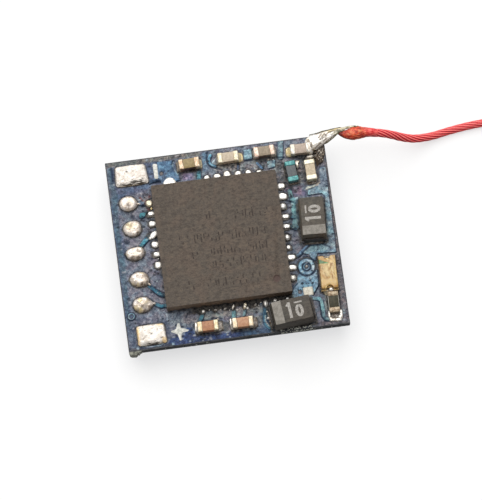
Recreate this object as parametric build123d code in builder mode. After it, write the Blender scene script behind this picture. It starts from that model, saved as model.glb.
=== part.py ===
from build123d import *
import os
from math import cos, sin, tan, radians, degrees, pi, hypot, atan2

os.makedirs("parts", exist_ok=True)

# Micro 2.4 GHz receiver board with a soldered wire antenna. All sizes in millimetres.
# +X runs along the board's long edge towards the antenna, +Y across it, +Z up.
# The origin is under the middle of the board, on the surface that the board stands on.

# ---------------------------------------------------------------- driving dimensions
board_length = 10.62
board_width = 9.33
board_thickness = 0.60
standing_height = 0.95            # room for the parts soldered under the board
copper = 0.03                     # copper layer with its plating
wet = 0.02                        # solder film between a land and a terminal
via_drill_radius = 0.10
via_wall = 0.025

bottom_z = standing_height
top_z = standing_height + board_thickness
land_z = top_z + copper           # top of the copper layer
seat_z = land_z + wet             # where the top side's parts sit
under_land_z = bottom_z - copper
under_seat_z = under_land_z - wet

chip_size = 6.0                   # 40-pad leadless package, 0.5 pitch
chip_height = 0.85
chip_x, chip_y = -0.245, 0.05
chip_pitch = 0.5
chip_pads_per_side = 10
lead_width, lead_length, lead_height = 0.23, 0.40, 0.20
exposed_pad = 4.5

controller_size = 4.0             # 20-pad leadless package under the board
controller_height = under_seat_z
controller_pads_per_side = 5
controller_exposed_pad = 2.6

small_length, small_width, small_height = 1.00, 0.50, 0.50   # small ceramic parts
small_cap, small_skin = 0.24, 0.02

# name: centre x, centre y, turn of the long axis in degrees
ceramic_parts = {
    "capacitor_1": (-1.28, 4.01, 2.0),
    "capacitor_2": (0.61, 4.07, 1.0),
    "capacitor_3": (2.37, 4.13, 1.0),
    "capacitor_4": (4.13, 4.02, 0.0),
    "capacitor_5": (4.45, 2.92, 91.5),
    "capacitor_6": (-1.43, -4.00, 0.0),
    "capacitor_7": (0.24, -4.04, 0.0),
    "inductor": (3.54, 2.97, 94.2),
}

# moulded tantalum capacitors: centre x, centre y, turn from the stripe's end
tantalum_parts = {
    "tantalum_1": (4.20, 0.48, 87.7),
    "tantalum_2": (2.61, -3.92, 5.4),
}
tantalum_length, tantalum_width, tantalum_height = 1.92, 1.20, 1.12
tantalum_draft = 5.0
tantalum_lead, tantalum_lead_width = 0.09, 0.90

led_x, led_y, led_turn = 4.59, -2.18, 88.4
led_length, led_width = 1.70, 0.85
led_base, led_lens_length, led_lens_height = 0.22, 1.42, 0.34
led_notch_radius = 0.17

resistor_x, resistor_y, resistor_turn = 4.655, -3.60, 88.4
resistor_height, resistor_coat = 0.32, 0.03

battery_pads = {                  # centre x, centre y, length, width, height
    "battery_pad_negative": (-4.11, 3.90, 1.47, 0.95, 0.07),
    "battery_pad_positive": (-4.14, -3.98, 1.36, 0.95, 0.07),
}
output_pad_x = -4.42
output_pad_ys = (2.50, 1.26, 0.03, -1.24, -2.50)
output_pad_rx, output_pad_ry, output_pad_height = 0.42, 0.35, 0.20

ring_via = (3.62, -1.68)
ring_radius = 0.41
small_vias = ((-2.65, 3.80), (-4.97, -2.97), (3.31, -2.47), (3.82, -2.50), (3.15, -2.86))

wire_diameter = 0.37
wire_route = (                    # centre line of the insulated wire, from the bare end
    (6.05, 4.56, 1.90),
    (7.30, 4.47, 1.90),
    (8.40, 4.40, 1.50),
    (9.45, 4.10, 0.72),
    (10.50, 4.20, 0.27),
    (11.55, 4.42, 0.185),
    (12.60, 4.55, 0.185),
    (13.60, 4.60, 0.185),
)
strands_start = (4.98, 4.30, 1.84)
strands_diameter = 0.24
coil_lead = 2.0                   # straight wire between the tube and the coil's turns
coil_outer = 2.44                 # radius of the coil's outermost centre line
coil_turns = 1.5


def seat(x, y, z, turn=0.0, down=False):
    """Plane on a board side at x, y, with its X axis turned by turn degrees."""
    side = -1 if down else 1
    return Plane(
        origin=(x, y, z),
        x_dir=(cos(radians(turn)), sin(radians(turn)), 0),
        z_dir=(0, 0, side),
    )


def upright(x, y, z, turn):
    """Vertical plane whose X axis points along turn and whose Y axis points up."""
    return Plane(
        origin=(x, y, z),
        x_dir=(cos(radians(turn)), sin(radians(turn)), 0),
        z_dir=(sin(radians(turn)), -cos(radians(turn)), 0),
    )


def finish(block, name):
    block.part.label = name
    export_step(block.part, f"parts/{name}.step")
    print(f"{name:28s} solids {len(block.part.solids()):3d}  volume {block.part.volume:9.4f}")


def pad_places(size, pitch, count):
    """Centre, and outward direction in degrees, of each pad round a square package."""
    places = []
    for k in range(count):
        s = (k - (count - 1) / 2) * pitch
        places += [(size / 2, s, 0), (-size / 2, s, 180), (s, size / 2, 90), (s, -size / 2, 270)]
    return places


# ---------------------------------------------------------------- bare board
hw, hl = board_width / 2, board_length / 2
with BuildPart() as circuit_board:
    with BuildSketch(Plane.XY.offset(bottom_z)):
        with BuildLine():
            Polyline(
                (-hl + 0.02, hw), (hl, hw), (hl, -hw),
                (-4.66, -hw), (-4.88, -hw - 0.10), (-4.97, -hw - 0.19),
                (-5.17, -hw - 0.17), (-5.27, -hw - 0.13), (-hl, -hw + 0.02),
                (-hl + 0.02, hw),
            )
        make_face()
    extrude(amount=board_thickness)
    with BuildSketch(Plane.XY.offset(bottom_z)):
        with Locations(ring_via, *small_vias):
            Circle(via_drill_radius)
    extrude(amount=board_thickness, mode=Mode.SUBTRACT)
finish(circuit_board, "circuit_board")

# plated walls of the drilled holes, flush with both sides of the board
with BuildPart() as via_barrels:
    with BuildSketch(Plane.XY.offset(bottom_z)):
        with Locations(ring_via, *small_vias):
            Circle(via_drill_radius)
            Circle(via_drill_radius - via_wall, mode=Mode.SUBTRACT)
    extrude(amount=board_thickness)
finish(via_barrels, "via_barrels")

# ---------------------------------------------------------------- copper on the top side
traces = (                        # width, then the points of each run
    (0.14, (-4.05, 2.46), (-3.70, 2.46), (-3.20, 2.31)),
    (0.14, (-4.05, 1.86), (-3.86, 1.86), (-3.60, 1.60), (-3.30, 1.31)),
    (0.14, (-4.08, 0.40), (-3.86, 0.52), (-3.66, 0.72), (-3.30, 0.81)),
    (0.14, (-4.02, -1.50), (-3.62, -1.90), (-3.30, -2.19)),
    (0.14, (-3.95, -2.50), (-3.62, -2.60), (-3.30, -2.62), (-2.60, -3.20), (-2.495, -3.26)),
    (0.16, (-0.30, 4.36), (-0.36, 4.00), (-0.22, 3.66), (-0.495, 3.30)),
    (0.14, (1.12, 4.05), (1.40, 4.05), (1.505, 3.80), (1.505, 3.30)),
    (0.14, (0.10, 3.95), (0.06, 3.62), (0.005, 3.30)),
    (0.14, (-0.995, 3.30), (-0.995, 3.62), (-0.90, 3.90)),
    (0.14, (-1.75, -3.90), (-1.64, -3.52), (-1.495, -3.20)),
    (0.14, (0.00, -3.90), (0.20, -3.55), (0.505, -3.20)),
    (0.14, (0.60, -3.90), (0.86, -3.60), (1.005, -3.20)),
    (0.14, (1.505, -3.20), (1.42, -3.60), (1.62, -3.95)),
    (0.14, (3.00, -1.20), (3.36, -0.84), (3.60, -0.52), (4.10, -0.52)),
    (0.14, (3.05, 2.30), (3.32, 2.30), (3.56, 2.46)),
    (0.14, (3.05, 1.30), (3.36, 1.30), (3.46, 1.80), (3.90, 2.10)),
    (0.14, (3.05, 0.30), (3.34, 0.30), (3.40, -0.10)),
    (0.16, (3.66, -3.33), (4.02, -3.36), (4.08, -4.00), (4.20, -4.28), (4.50, -4.28)),
    (0.14, (2.86, 4.14), (3.05, 4.30), (3.30, 4.30), (3.66, 4.04)),
)
pours = (                         # filled copper areas
    ((3.10, -1.98), (3.34, -2.02), (3.78, -1.95), (4.02, -2.14), (4.00, -2.62), (3.86, -2.84),
     (3.84, -3.14), (2.98, -3.14), (3.00, -2.50)),
    ((4.92, 2.05), (5.14, 2.05), (5.14, -1.02), (4.86, -1.18), (4.20, -1.12), (3.90, -0.86),
     (4.60, -0.84), (4.92, -0.60)),
    ((-2.62, 4.40), (-1.98, 4.40), (-2.06, 3.98), (-1.80, 3.56), (-3.02, 3.50), (-2.62, 3.66)),
    ((-5.12, -3.16), (-4.98, -3.24), (-4.98, -4.52), (1.42, -4.52), (1.42, -4.42), (-5.12, -4.62)),
)
with BuildPart() as copper_top:
    with BuildSketch(Plane.XY.offset(top_z)):
        for width, *points in traces:
            with BuildLine(mode=Mode.PRIVATE) as run:
                Polyline(*points)
            trace(run.line, line_width=width)
        for corners in pours:
            with BuildLine(mode=Mode.PRIVATE) as border:
                Polyline(*corners, corners[0])
            make_face(border.line)
        # lands of the big chip, its centre pad and its forty leads
        with Locations((chip_x, chip_y)):
            Rectangle(exposed_pad, exposed_pad)
        for px, py, turn in pad_places(chip_size, chip_pitch, chip_pads_per_side):
            with Locations((chip_x + px, chip_y + py)):
                Rectangle(0.80, 0.25, rotation=turn)
        # lands of the two-ended parts
        for x, y, turn in ceramic_parts.values():
            c, s = cos(radians(turn)), sin(radians(turn))
            for end in (-1, 1):
                with Locations((x + end * 0.49 * c, y + end * 0.49 * s)):
                    Rectangle(0.50, 0.54, rotation=turn)
        for x, y, turn in tantalum_parts.values():
            c, s = cos(radians(turn)), sin(radians(turn))
            for end in (-1, 1):
                with Locations((x + end * 0.92 * c, y + end * 0.92 * s)):
                    Rectangle(0.60, 1.00, rotation=turn)
        for x, y, turn, half, w in (
            (led_x, led_y, led_turn, led_length / 2, 0.80),
            (resistor_x, resistor_y, resistor_turn, small_length / 2, 0.54),
        ):
            c, s = cos(radians(turn)), sin(radians(turn))
            for end in (-1, 1):
                with Locations((x + end * (half - 0.06) * c, y + end * (half - 0.06) * s)):
                    Rectangle(0.44, w, rotation=turn)
        # battery and output lands, the bare square, the antenna's land and the ring
        for x, y, length, width, height in battery_pads.values():
            with Locations((x, y)):
                Rectangle(length, width)
        for y in output_pad_ys:
            with Locations((output_pad_x, y)):
                Ellipse(output_pad_rx, output_pad_ry)
        with Locations((3.54, -2.88)):
            Rectangle(0.52, 0.46)
        with Locations((4.90, 4.12)):
            Rectangle(0.66, 0.86)
        with Locations(ring_via):
            Circle(ring_radius)
        with Locations(ring_via, *small_vias):
            Circle(via_drill_radius, mode=Mode.SUBTRACT)
    extrude(amount=copper)
finish(copper_top, "copper_top")

# ---------------------------------------------------------------- painted marks
with BuildPart() as polarity_marks:
    with BuildSketch(seat(-2.91, 3.955, top_z, -1.5)):
        Rectangle(0.21, 0.72)
    with BuildSketch(seat(-2.79, -3.99, top_z, 2.0)):
        with BuildLine():
            Polyline((0.43, 0), (0.08, 0.08), (0, 0.43), (-0.08, 0.08), (-0.43, 0),
                     (-0.08, -0.08), (0, -0.43), (0.08, -0.08), (0.43, 0))
        make_face()
    extrude(amount=0.02)
finish(polarity_marks, "polarity_marks")

# ---------------------------------------------------------------- big chip
chip_places = pad_places(chip_size, chip_pitch, chip_pads_per_side)
with BuildPart() as transceiver_leads:
    for px, py, turn in chip_places:
        inward = seat(chip_x + px, chip_y + py, seat_z, turn)
        with BuildSketch(inward):
            with Locations((-lead_length / 2, 0)):
                Rectangle(lead_length, lead_width)
    extrude(amount=lead_height)
finish(transceiver_leads, "transceiver_leads")

with BuildPart() as transceiver_centre_pad:
    with BuildSketch(seat(chip_x, chip_y, seat_z)):
        Rectangle(exposed_pad, exposed_pad)
    extrude(amount=lead_height)
    chamfer(transceiver_centre_pad.edges().filter_by(Axis.Z).sort_by(Axis.X)[-1], 0.3)
finish(transceiver_centre_pad, "transceiver_centre_pad")

with BuildPart() as transceiver_body:
    with BuildSketch(seat(chip_x, chip_y, seat_z)):
        Rectangle(chip_size, chip_size)
    extrude(amount=chip_height)
    add(transceiver_leads.part, mode=Mode.SUBTRACT)
    add(transceiver_centre_pad.part, mode=Mode.SUBTRACT)
    # shallow pin-1 dimple, moulded into the top face
    with BuildSketch(Plane.XY.offset(seat_z + chip_height)):
        with Locations((2.11, -2.25)):
            Circle(0.17)
    extrude(amount=-0.03, mode=Mode.SUBTRACT)
finish(transceiver_body, "transceiver_body")

with BuildPart() as transceiver_solder:
    for px, py, turn in chip_places:
        with BuildSketch(upright(chip_x + px, chip_y + py, land_z, turn)):
            with BuildLine():
                Polyline((-0.38, 0), (0.30, 0), (0.22, 0.07), (0.05, 0.18), (0, 0.19),
                         (0, wet), (-0.38, wet), (-0.38, 0))
            make_face()
    extrude(amount=0.105, both=True)
    with BuildSketch(seat(chip_x, chip_y, land_z)):
        Rectangle(exposed_pad - 0.3, exposed_pad - 0.3)
    extrude(amount=wet)
finish(transceiver_solder, "transceiver_solder")

# ---------------------------------------------------------------- small ceramic parts
for name, (x, y, turn) in ceramic_parts.items():
    with BuildPart() as ceramic:
        with BuildSketch(seat(x, y, seat_z + small_skin, turn)):
            Rectangle(small_length - 2 * small_skin, small_width - 2 * small_skin)
        extrude(amount=small_height - 2 * small_skin)
    with BuildPart() as end_caps:
        with BuildSketch(seat(x, y, seat_z, turn)):
            with Locations((-(small_length - small_cap) / 2, 0), ((small_length - small_cap) / 2, 0)):
                Rectangle(small_cap, small_width)
        extrude(amount=small_height)
        fillet(end_caps.edges().filter_by(lambda e: abs(e.length - small_width) < 1e-3
               and abs(e.center().Z - seat_z - small_height) < 1e-6
               and hypot(e.center().X - x, e.center().Y - y) > small_length * 0.45), 0.05)
        add(ceramic.part, mode=Mode.SUBTRACT)
    finish(ceramic, f"{name}_body")
    finish(end_caps, f"{name}_terminals")

# ---------------------------------------------------------------- tantalum capacitors
for name, (x, y, turn) in tantalum_parts.items():
    half = tantalum_height / 2
    base = seat_z + tantalum_lead
    with BuildPart() as moulding:
        with BuildSketch(seat(x, y, base + half, turn)):
            Rectangle(tantalum_length, tantalum_width)
        extrude(amount=half, taper=tantalum_draft)
        with BuildSketch(seat(x, y, base, turn)):
            Rectangle(tantalum_length, tantalum_width)
        extrude(amount=half)
    with BuildPart() as strips:
        for end in (0, 180):
            with BuildSketch(upright(x, y, seat_z, turn + end)):
                with BuildLine():
                    tip, t = tantalum_length / 2, tantalum_lead
                    Polyline((tip - 0.45, 0), (tip + t, 0), (tip + t, half + t), (tip, half + t),
                             (tip, t), (tip - 0.45, t), (tip - 0.45, 0))
                make_face()
        extrude(amount=tantalum_lead_width / 2, both=True)
    finish(moulding, f"{name}_body")
    finish(strips, f"{name}_terminals")

# ---------------------------------------------------------------- amber lamp and resistor
with BuildPart() as led_terminals:
    with BuildSketch(seat(led_x, led_y, seat_z, led_turn)):
        with Locations((-(led_length - 0.30) / 2, 0), ((led_length - 0.30) / 2, 0)):
            Rectangle(0.30, led_width)
        with Locations((-led_length / 2, 0), (led_length / 2, 0)):
            Circle(led_notch_radius, mode=Mode.SUBTRACT)
    extrude(amount=led_base)
finish(led_terminals, "led_terminals")

with BuildPart() as led_carrier:
    with BuildSketch(seat(led_x, led_y, seat_z, led_turn)):
        Rectangle(led_length - 0.60, led_width)
    extrude(amount=led_base)
finish(led_carrier, "led_carrier")

with BuildPart() as led_lens:
    with BuildSketch(seat(led_x, led_y, seat_z + led_base, led_turn)):
        Rectangle(led_lens_length, led_width)
    extrude(amount=led_lens_height, taper=4)
finish(led_lens, "led_lens")

with BuildPart() as resistor_body:
    with BuildSketch(seat(resistor_x, resistor_y, seat_z + small_skin, resistor_turn)):
        Rectangle(small_length - 2 * small_skin, small_width)
    extrude(amount=resistor_height - 2 * small_skin)
with BuildPart() as resistor_coating:
    with BuildSketch(seat(resistor_x, resistor_y, seat_z + resistor_height - small_skin, resistor_turn)):
        Rectangle(small_length - 2 * 0.22, small_width - 0.04)
    extrude(amount=resistor_coat)
with BuildPart() as resistor_terminals:
    with BuildSketch(seat(resistor_x, resistor_y, seat_z, resistor_turn)):
        with Locations((-(small_length - 0.22) / 2, 0), ((small_length - 0.22) / 2, 0)):
            Rectangle(0.22, small_width)
    extrude(amount=resistor_height)
    add(resistor_body.part, mode=Mode.SUBTRACT)
finish(resistor_body, "resistor_body")
finish(resistor_coating, "resistor_coating")
finish(resistor_terminals, "resistor_terminals")

# ---------------------------------------------------------------- solder on the top side
joints = []                       # x, y, outward turn, width, reach, rise
for name, (x, y, turn) in ceramic_parts.items():
    for end in (0, 180):
        if name == "capacitor_4" and end == 0:
            continue              # this end is swallowed by the antenna's solder
        c, s = cos(radians(turn + end)), sin(radians(turn + end))
        joints.append((x + 0.5 * c, y + 0.5 * s, turn + end, 0.44, 0.20, 0.30))
for x, y, turn in tantalum_parts.values():
    for end in (0, 180):
        c, s = cos(radians(turn + end)), sin(radians(turn + end))
        reach = tantalum_length / 2 + tantalum_lead
        joints.append((x + reach * c, y + reach * s, turn + end, 0.80, 0.16, 0.30))
c, s = cos(radians(led_turn)), sin(radians(led_turn))
joints.append((led_x + led_length / 2 * c, led_y + led_length / 2 * s, led_turn, 0.30, 0.12, 0.0))
c, s = cos(radians(resistor_turn + 180)), sin(radians(resistor_turn + 180))
joints.append((resistor_x + 0.5 * c, resistor_y + 0.5 * s, resistor_turn + 180, 0.52, 0.34, 0.20))
with BuildPart() as solder_joints:
    for x, y, turn, width, reach, rise in joints:
        if rise == 0.0:           # plug of solder in the lamp's notch
            with BuildSketch(seat(x, y, land_z, turn)):
                Circle(led_notch_radius - 0.005)
            extrude(amount=0.16)
            continue
        with BuildSketch(upright(x, y, land_z, turn)):
            with BuildLine():
                Polyline((-0.16, 0), (reach, 0), (reach * 0.62, rise * 0.22), (reach * 0.25, rise * 0.6),
                         (0.0, rise), (0.0, wet), (-0.16, wet), (-0.16, 0))
            make_face()
        extrude(amount=width / 2, both=True)
finish(solder_joints, "solder_joints")

# flat pads of the battery leads, levelled with solder
for name, (x, y, length, width, height) in battery_pads.items():
    with BuildPart() as battery_pad:
        with BuildSketch(seat(x, y, land_z)):
            RectangleRounded(length, width, 0.08)
        extrude(amount=height)
        chamfer(battery_pad.faces().sort_by(Axis.Z)[-1].edges(), 0.04)
    finish(battery_pad, name)

# domed pads of the five outputs
for number, y in enumerate(output_pad_ys, start=1):
    with BuildPart() as output_pad:
        for z, k in ((0, 1.0), (0.5 * output_pad_height, 0.90), (0.85 * output_pad_height, 0.62),
                     (output_pad_height, 0.28)):
            with BuildSketch(seat(output_pad_x, y, land_z + z)):
                Ellipse((output_pad_rx - 0.01) * k, (output_pad_ry - 0.01) * k)
        loft(ruled=True)
    finish(output_pad, f"output_pad_{number}")

with BuildPart() as bare_square_pad:
    with BuildSketch(seat(3.54, -2.88, land_z)):
        RectangleRounded(0.50, 0.44, 0.06)
    extrude(amount=0.03)
finish(bare_square_pad, "tinned_test_pad")

# ---------------------------------------------------------------- antenna
points = [Vector(*p) for p in wire_route]
runs = [(b - a).length for a, b in zip(points, points[1:])]
radii = []
for k in range(1, len(points) - 1):
    turn = (points[k] - points[k - 1]).get_angle(points[k + 1] - points[k])
    radii.append(0.45 * min(runs[k - 1], runs[k]) / tan(radians(turn / 2)))
    print(f"wire corner {k}: turn {turn:5.1f} deg, radius {radii[-1]:6.2f} mm, runs {runs[k-1]:.2f} {runs[k]:.2f}")
with BuildPart() as antenna_wire:
    with BuildLine() as wire_line:
        FilletPolyline(*points, radius=radii)
    with BuildSketch(Plane(origin=points[0], z_dir=points[1] - points[0])):
        Circle(wire_diameter / 2)
    sweep()
tube_length = wire_line.wires()[0].length
print(f"wire tube length {tube_length:.3f}, volume / (section x length) "
      f"{antenna_wire.part.volume / (pi * wire_diameter ** 2 / 4 * tube_length):.4f}")
finish(antenna_wire, "antenna_wire")

# tinned bare strands between the insulation's end and the solder, which grips their other end
start, end = Vector(*strands_start), Vector(*wire_route[0])
with BuildPart() as antenna_strands:
    with BuildSketch(Plane(origin=start, z_dir=end - start)):
        Circle(strands_diameter / 2)
    extrude(amount=(end - start).length + 0.04)
    add(antenna_wire.part, mode=Mode.SUBTRACT)
finish(antenna_strands, "antenna_strands")

with BuildPart() as antenna_solder:
    for z, x, y, rx, ry in (
        (land_z, 4.97, 4.12, 0.31, 0.40),
        (1.78, 4.98, 4.16, 0.30, 0.38),
        (1.96, 5.00, 4.22, 0.23, 0.29),
        (2.04, 5.00, 4.25, 0.12, 0.15),
    ):
        with BuildSketch(seat(x, y, z)):
            Ellipse(rx, ry)
    loft(ruled=True)
    add(antenna_strands.part, mode=Mode.SUBTRACT)
finish(antenna_solder, "antenna_solder")

# the rest of the wire, wound in a flat coil; its short straight lead joins the tube's end
way = (points[-1] - points[-2]).normalized()
touch = points[-1] + way * coil_lead
coil_centre = touch + Vector(way.Y, -way.X, 0) * coil_outer
coil_inner = coil_outer - coil_turns * (wire_diameter + 0.01)
turns_length = coil_turns * pi * (coil_outer + coil_inner)
print(f"coil centre {coil_centre.X:.3f} {coil_centre.Y:.3f}, inner centre line radius {coil_inner:.3f}, "
      f"wound length {turns_length:.2f}, whole insulated wire {tube_length + coil_lead + turns_length:.2f}")
with BuildPart() as antenna_coil:
    with BuildSketch(seat(coil_centre.X, coil_centre.Y, 0)):
        Circle(coil_outer + wire_diameter / 2)
        Circle(coil_inner - wire_diameter / 2, mode=Mode.SUBTRACT)
    extrude(amount=wire_diameter)
    with BuildSketch(Plane(origin=points[-1], z_dir=way)):
        Circle(wire_diameter / 2 - 0.005)
    extrude(amount=coil_lead)
finish(antenna_coil, "antenna_coil")

# ---------------------------------------------------------------- parts under the board
under_small = {                   # small capacitors under the board
    "a": (-2.95, -3.05, 0.0), "b": (-1.10, -3.30, 0.0), "c": (1.20, -3.30, 0.0), "d": (0.40, 3.35, 0.0),
}
crystal_x, crystal_y = -3.85, 0.60
crystal_width, crystal_length = 2.0, 2.5
regulator_x, regulator_y = 3.75, 1.30

controller_places = pad_places(controller_size, chip_pitch, controller_pads_per_side)
with BuildPart() as copper_bottom:
    with BuildSketch(Plane.XY.offset(under_land_z)):
        Rectangle(controller_exposed_pad, controller_exposed_pad)
        for px, py, turn in controller_places:
            with Locations((px, py)):
                Rectangle(0.80, 0.25, rotation=turn)
        for x, y, turn in under_small.values():
            with Locations((x - 0.49, y), (x + 0.49, y)):
                Rectangle(0.50, 0.54)
        with Locations((crystal_x, crystal_y)):
            with GridLocations(1.30, 1.70, 2, 2):
                Rectangle(0.70, 0.80)
        with Locations((regulator_x, regulator_y)):
            with Locations((-0.95, -0.65), (-0.95, 0), (-0.95, 0.65), (0.95, -0.65), (0.95, 0.65)):
                Rectangle(0.50, 0.30)
        for y in output_pad_ys:
            if abs(y - crystal_y) > 1.7:
                with Locations((output_pad_x, y)):
                    Ellipse(output_pad_rx, output_pad_ry)
        for width, *run_points in (
            (0.14, (-2.75, 0.60), (-2.40, 0.50), (-2.15, 0.50)),
            (0.14, (2.20, 0.50), (2.50, 0.65), (2.80, 0.65)),
            (0.14, (-1.00, 2.20), (-1.00, 2.80), (-0.40, 3.35), (-0.10, 3.35)),
            (0.14, (-1.00, -2.20), (-1.00, -2.70), (-1.55, -3.20)),
            (0.14, (1.00, -2.20), (1.00, -2.80), (0.75, -3.20)),
            (0.14, (4.70, 1.95), (4.95, 2.30), (4.95, 3.60)),
            (0.14, (2.20, -1.00), (3.62, -1.68)),
        ):
            with BuildLine(mode=Mode.PRIVATE) as run:
                Polyline(*run_points)
            trace(run.line, line_width=width)
        with Locations(ring_via):
            Circle(ring_radius)
        with Locations(ring_via, *small_vias):
            Circle(via_drill_radius, mode=Mode.SUBTRACT)
    extrude(amount=copper)
finish(copper_bottom, "copper_bottom")

# microcontroller: its flat face is the lowest face, and the receiver stands on it
with BuildPart() as controller_leads:
    for px, py, turn in controller_places:
        with BuildSketch(seat(px, py, under_seat_z - lead_height, turn)):
            with Locations((-lead_length / 2, 0)):
                Rectangle(lead_length, lead_width)
    with BuildSketch(seat(0, 0, under_seat_z - lead_height)):
        Rectangle(controller_exposed_pad, controller_exposed_pad)
    extrude(amount=lead_height)
finish(controller_leads, "controller_leads")

with BuildPart() as controller_body:
    with BuildSketch(Plane.XY):
        Rectangle(controller_size, controller_size)
    extrude(amount=controller_height)
    add(controller_leads.part, mode=Mode.SUBTRACT)
finish(controller_body, "controller_body")

# crystal: ceramic tray with a welded metal lid
with BuildPart() as crystal_tray:
    with BuildSketch(seat(crystal_x, crystal_y, under_seat_z - 0.42)):
        RectangleRounded(crystal_width, crystal_length, 0.10)
    extrude(amount=0.42)
finish(crystal_tray, "crystal_tray")

with BuildPart() as crystal_lid:
    with BuildSketch(seat(crystal_x, crystal_y, under_seat_z - 0.42 - 0.16)):
        RectangleRounded(crystal_width - 0.16, crystal_length - 0.16, 0.22)
    extrude(amount=0.16)
    fillet(crystal_lid.faces().sort_by(Axis.Z)[0].edges(), 0.05)
finish(crystal_lid, "crystal_lid")

# voltage regulator with five bent leads
with BuildPart() as regulator_body:
    with BuildSketch(seat(regulator_x, regulator_y, 0.12)):
        Rectangle(1.25, 2.00)
    extrude(amount=0.72)
    chamfer(regulator_body.faces().sort_by(Axis.Z)[0].edges(), 0.08)
finish(regulator_body, "regulator_body")

with BuildPart() as regulator_leads:
    for side, across in ((180, (-0.65, 0.0, 0.65)), (0, (-0.65, 0.65))):
        for dy in across:
            with BuildSketch(upright(regulator_x, regulator_y + dy, 0, side)):
                with BuildLine():
                    Polyline((0.625, 0.44), (0.86, 0.44), (0.94, 0.80), (1.12, 0.80), (1.12, 0.90),
                             (0.86, 0.90), (0.78, 0.54), (0.625, 0.54), (0.625, 0.44))
                make_face()
            extrude(amount=0.11, both=True)
finish(regulator_leads, "regulator_leads")

with BuildPart() as under_capacitor_bodies:
    for x, y, turn in under_small.values():
        with BuildSketch(seat(x, y, under_seat_z - small_height + small_skin, turn)):
            Rectangle(small_length - 2 * small_skin, small_width - 2 * small_skin)
    extrude(amount=small_height - 2 * small_skin)
with BuildPart() as under_capacitor_terminals:
    for x, y, turn in under_small.values():
        with BuildSketch(seat(x, y, under_seat_z - small_height, turn)):
            with Locations((-(small_length - small_cap) / 2, 0), ((small_length - small_cap) / 2, 0)):
                Rectangle(small_cap, small_width)
    extrude(amount=small_height)
    add(under_capacitor_bodies.part, mode=Mode.SUBTRACT)
finish(under_capacitor_bodies, "under_capacitor_bodies")
finish(under_capacitor_terminals, "under_capacitor_terminals")

# solder between the lands and the parts under the board
with BuildPart() as under_solder:
    for px, py, turn in controller_places:
        with BuildSketch(upright(px, py, under_seat_z, turn)):
            with BuildLine():
                Polyline((-0.38, 0), (0, 0), (0, -0.17), (0.05, -0.16), (0.22, -0.05),
                         (0.30, wet), (-0.38, wet), (-0.38, 0))
            make_face()
    extrude(amount=0.105, both=True)
    with BuildSketch(seat(0, 0, under_seat_z)):
        Rectangle(controller_exposed_pad - 0.3, controller_exposed_pad - 0.3)
        for x, y, turn in under_small.values():
            with Locations((x - 0.40, y), (x + 0.40, y)):
                Rectangle(0.18, 0.46)
        with Locations((crystal_x, crystal_y)):
            with GridLocations(1.20, 1.60, 2, 2):
                Rectangle(0.60, 0.70)
        with Locations((regulator_x, regulator_y)):
            with Locations((-0.98, -0.65), (-0.98, 0), (-0.98, 0.65), (0.98, -0.65), (0.98, 0.65)):
                Rectangle(0.24, 0.22)
    extrude(amount=wet)
finish(under_solder, "under_solder")
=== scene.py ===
from math import atan2, cos, hypot, pi, radians, sin, sqrt

import bpy
import numpy as np
from mathutils import Matrix, Vector


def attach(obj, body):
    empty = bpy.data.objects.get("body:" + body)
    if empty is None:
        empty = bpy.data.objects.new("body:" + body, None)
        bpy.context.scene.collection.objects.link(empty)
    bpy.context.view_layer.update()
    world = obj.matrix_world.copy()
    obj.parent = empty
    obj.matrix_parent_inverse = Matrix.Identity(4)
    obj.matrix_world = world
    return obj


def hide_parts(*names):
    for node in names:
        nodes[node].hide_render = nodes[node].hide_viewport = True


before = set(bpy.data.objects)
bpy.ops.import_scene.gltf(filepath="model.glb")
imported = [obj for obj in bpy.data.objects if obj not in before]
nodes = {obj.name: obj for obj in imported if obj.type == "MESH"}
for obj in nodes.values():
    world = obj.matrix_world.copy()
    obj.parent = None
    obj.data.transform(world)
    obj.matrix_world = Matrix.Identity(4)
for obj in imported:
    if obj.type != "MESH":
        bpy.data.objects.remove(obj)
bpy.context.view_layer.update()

MM = 0.001
TOP = 1.55          # board's top face
LAND = 1.58         # top of the copper
SEAT = 1.60         # where the top side's parts sit

# ================================================================ camera
tilt, turned = radians(77.0), radians(7.70)
right = Vector((cos(turned), -sin(turned), 0.0))
away = Vector((sin(turned), cos(turned), 0.0))
up = away * sin(tilt) + Vector((0, 0, 1)) * cos(tilt)
look = away * cos(tilt) - Vector((0, 0, 1)) * sin(tilt)
aim = Vector((0.634, -0.444, 1.55)) * MM
camera_data = bpy.data.cameras.new("camera")
camera_data.sensor_fit = "AUTO"
camera_data.sensor_width = 36.0
camera_data.lens = 20.911 * 160.0 * 36.0 / 500.0
camera_data.clip_start, camera_data.clip_end = 0.002, 20.0
camera = bpy.data.objects.new("camera", camera_data)
bpy.context.scene.collection.objects.link(camera)
turn_matrix = Matrix((right, up, -look)).transposed().to_4x4()
camera.matrix_world = Matrix.Translation(aim - look * 160.0 * MM) @ turn_matrix
bpy.context.scene.camera = camera


# ================================================================ helpers: numbers
def smooth(a, b, x):
    t = np.clip((np.asarray(x, float) - a) / (b - a), 0.0, 1.0)
    return t * t * (3 - 2 * t)


def lattice(ix, iy, iz, seed):
    h = (ix * 374761393 + iy * 668265263 + iz * 1440662683 + seed * 974711) & 0xFFFFFFFF
    h = ((h ^ (h >> 13)) * 1274126177) & 0xFFFFFFFF
    h = ((h ^ (h >> 16)) * 2246822519) & 0xFFFFFFFF
    return ((h ^ (h >> 15)) & 0xFFFF) / 32767.5 - 1.0


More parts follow.
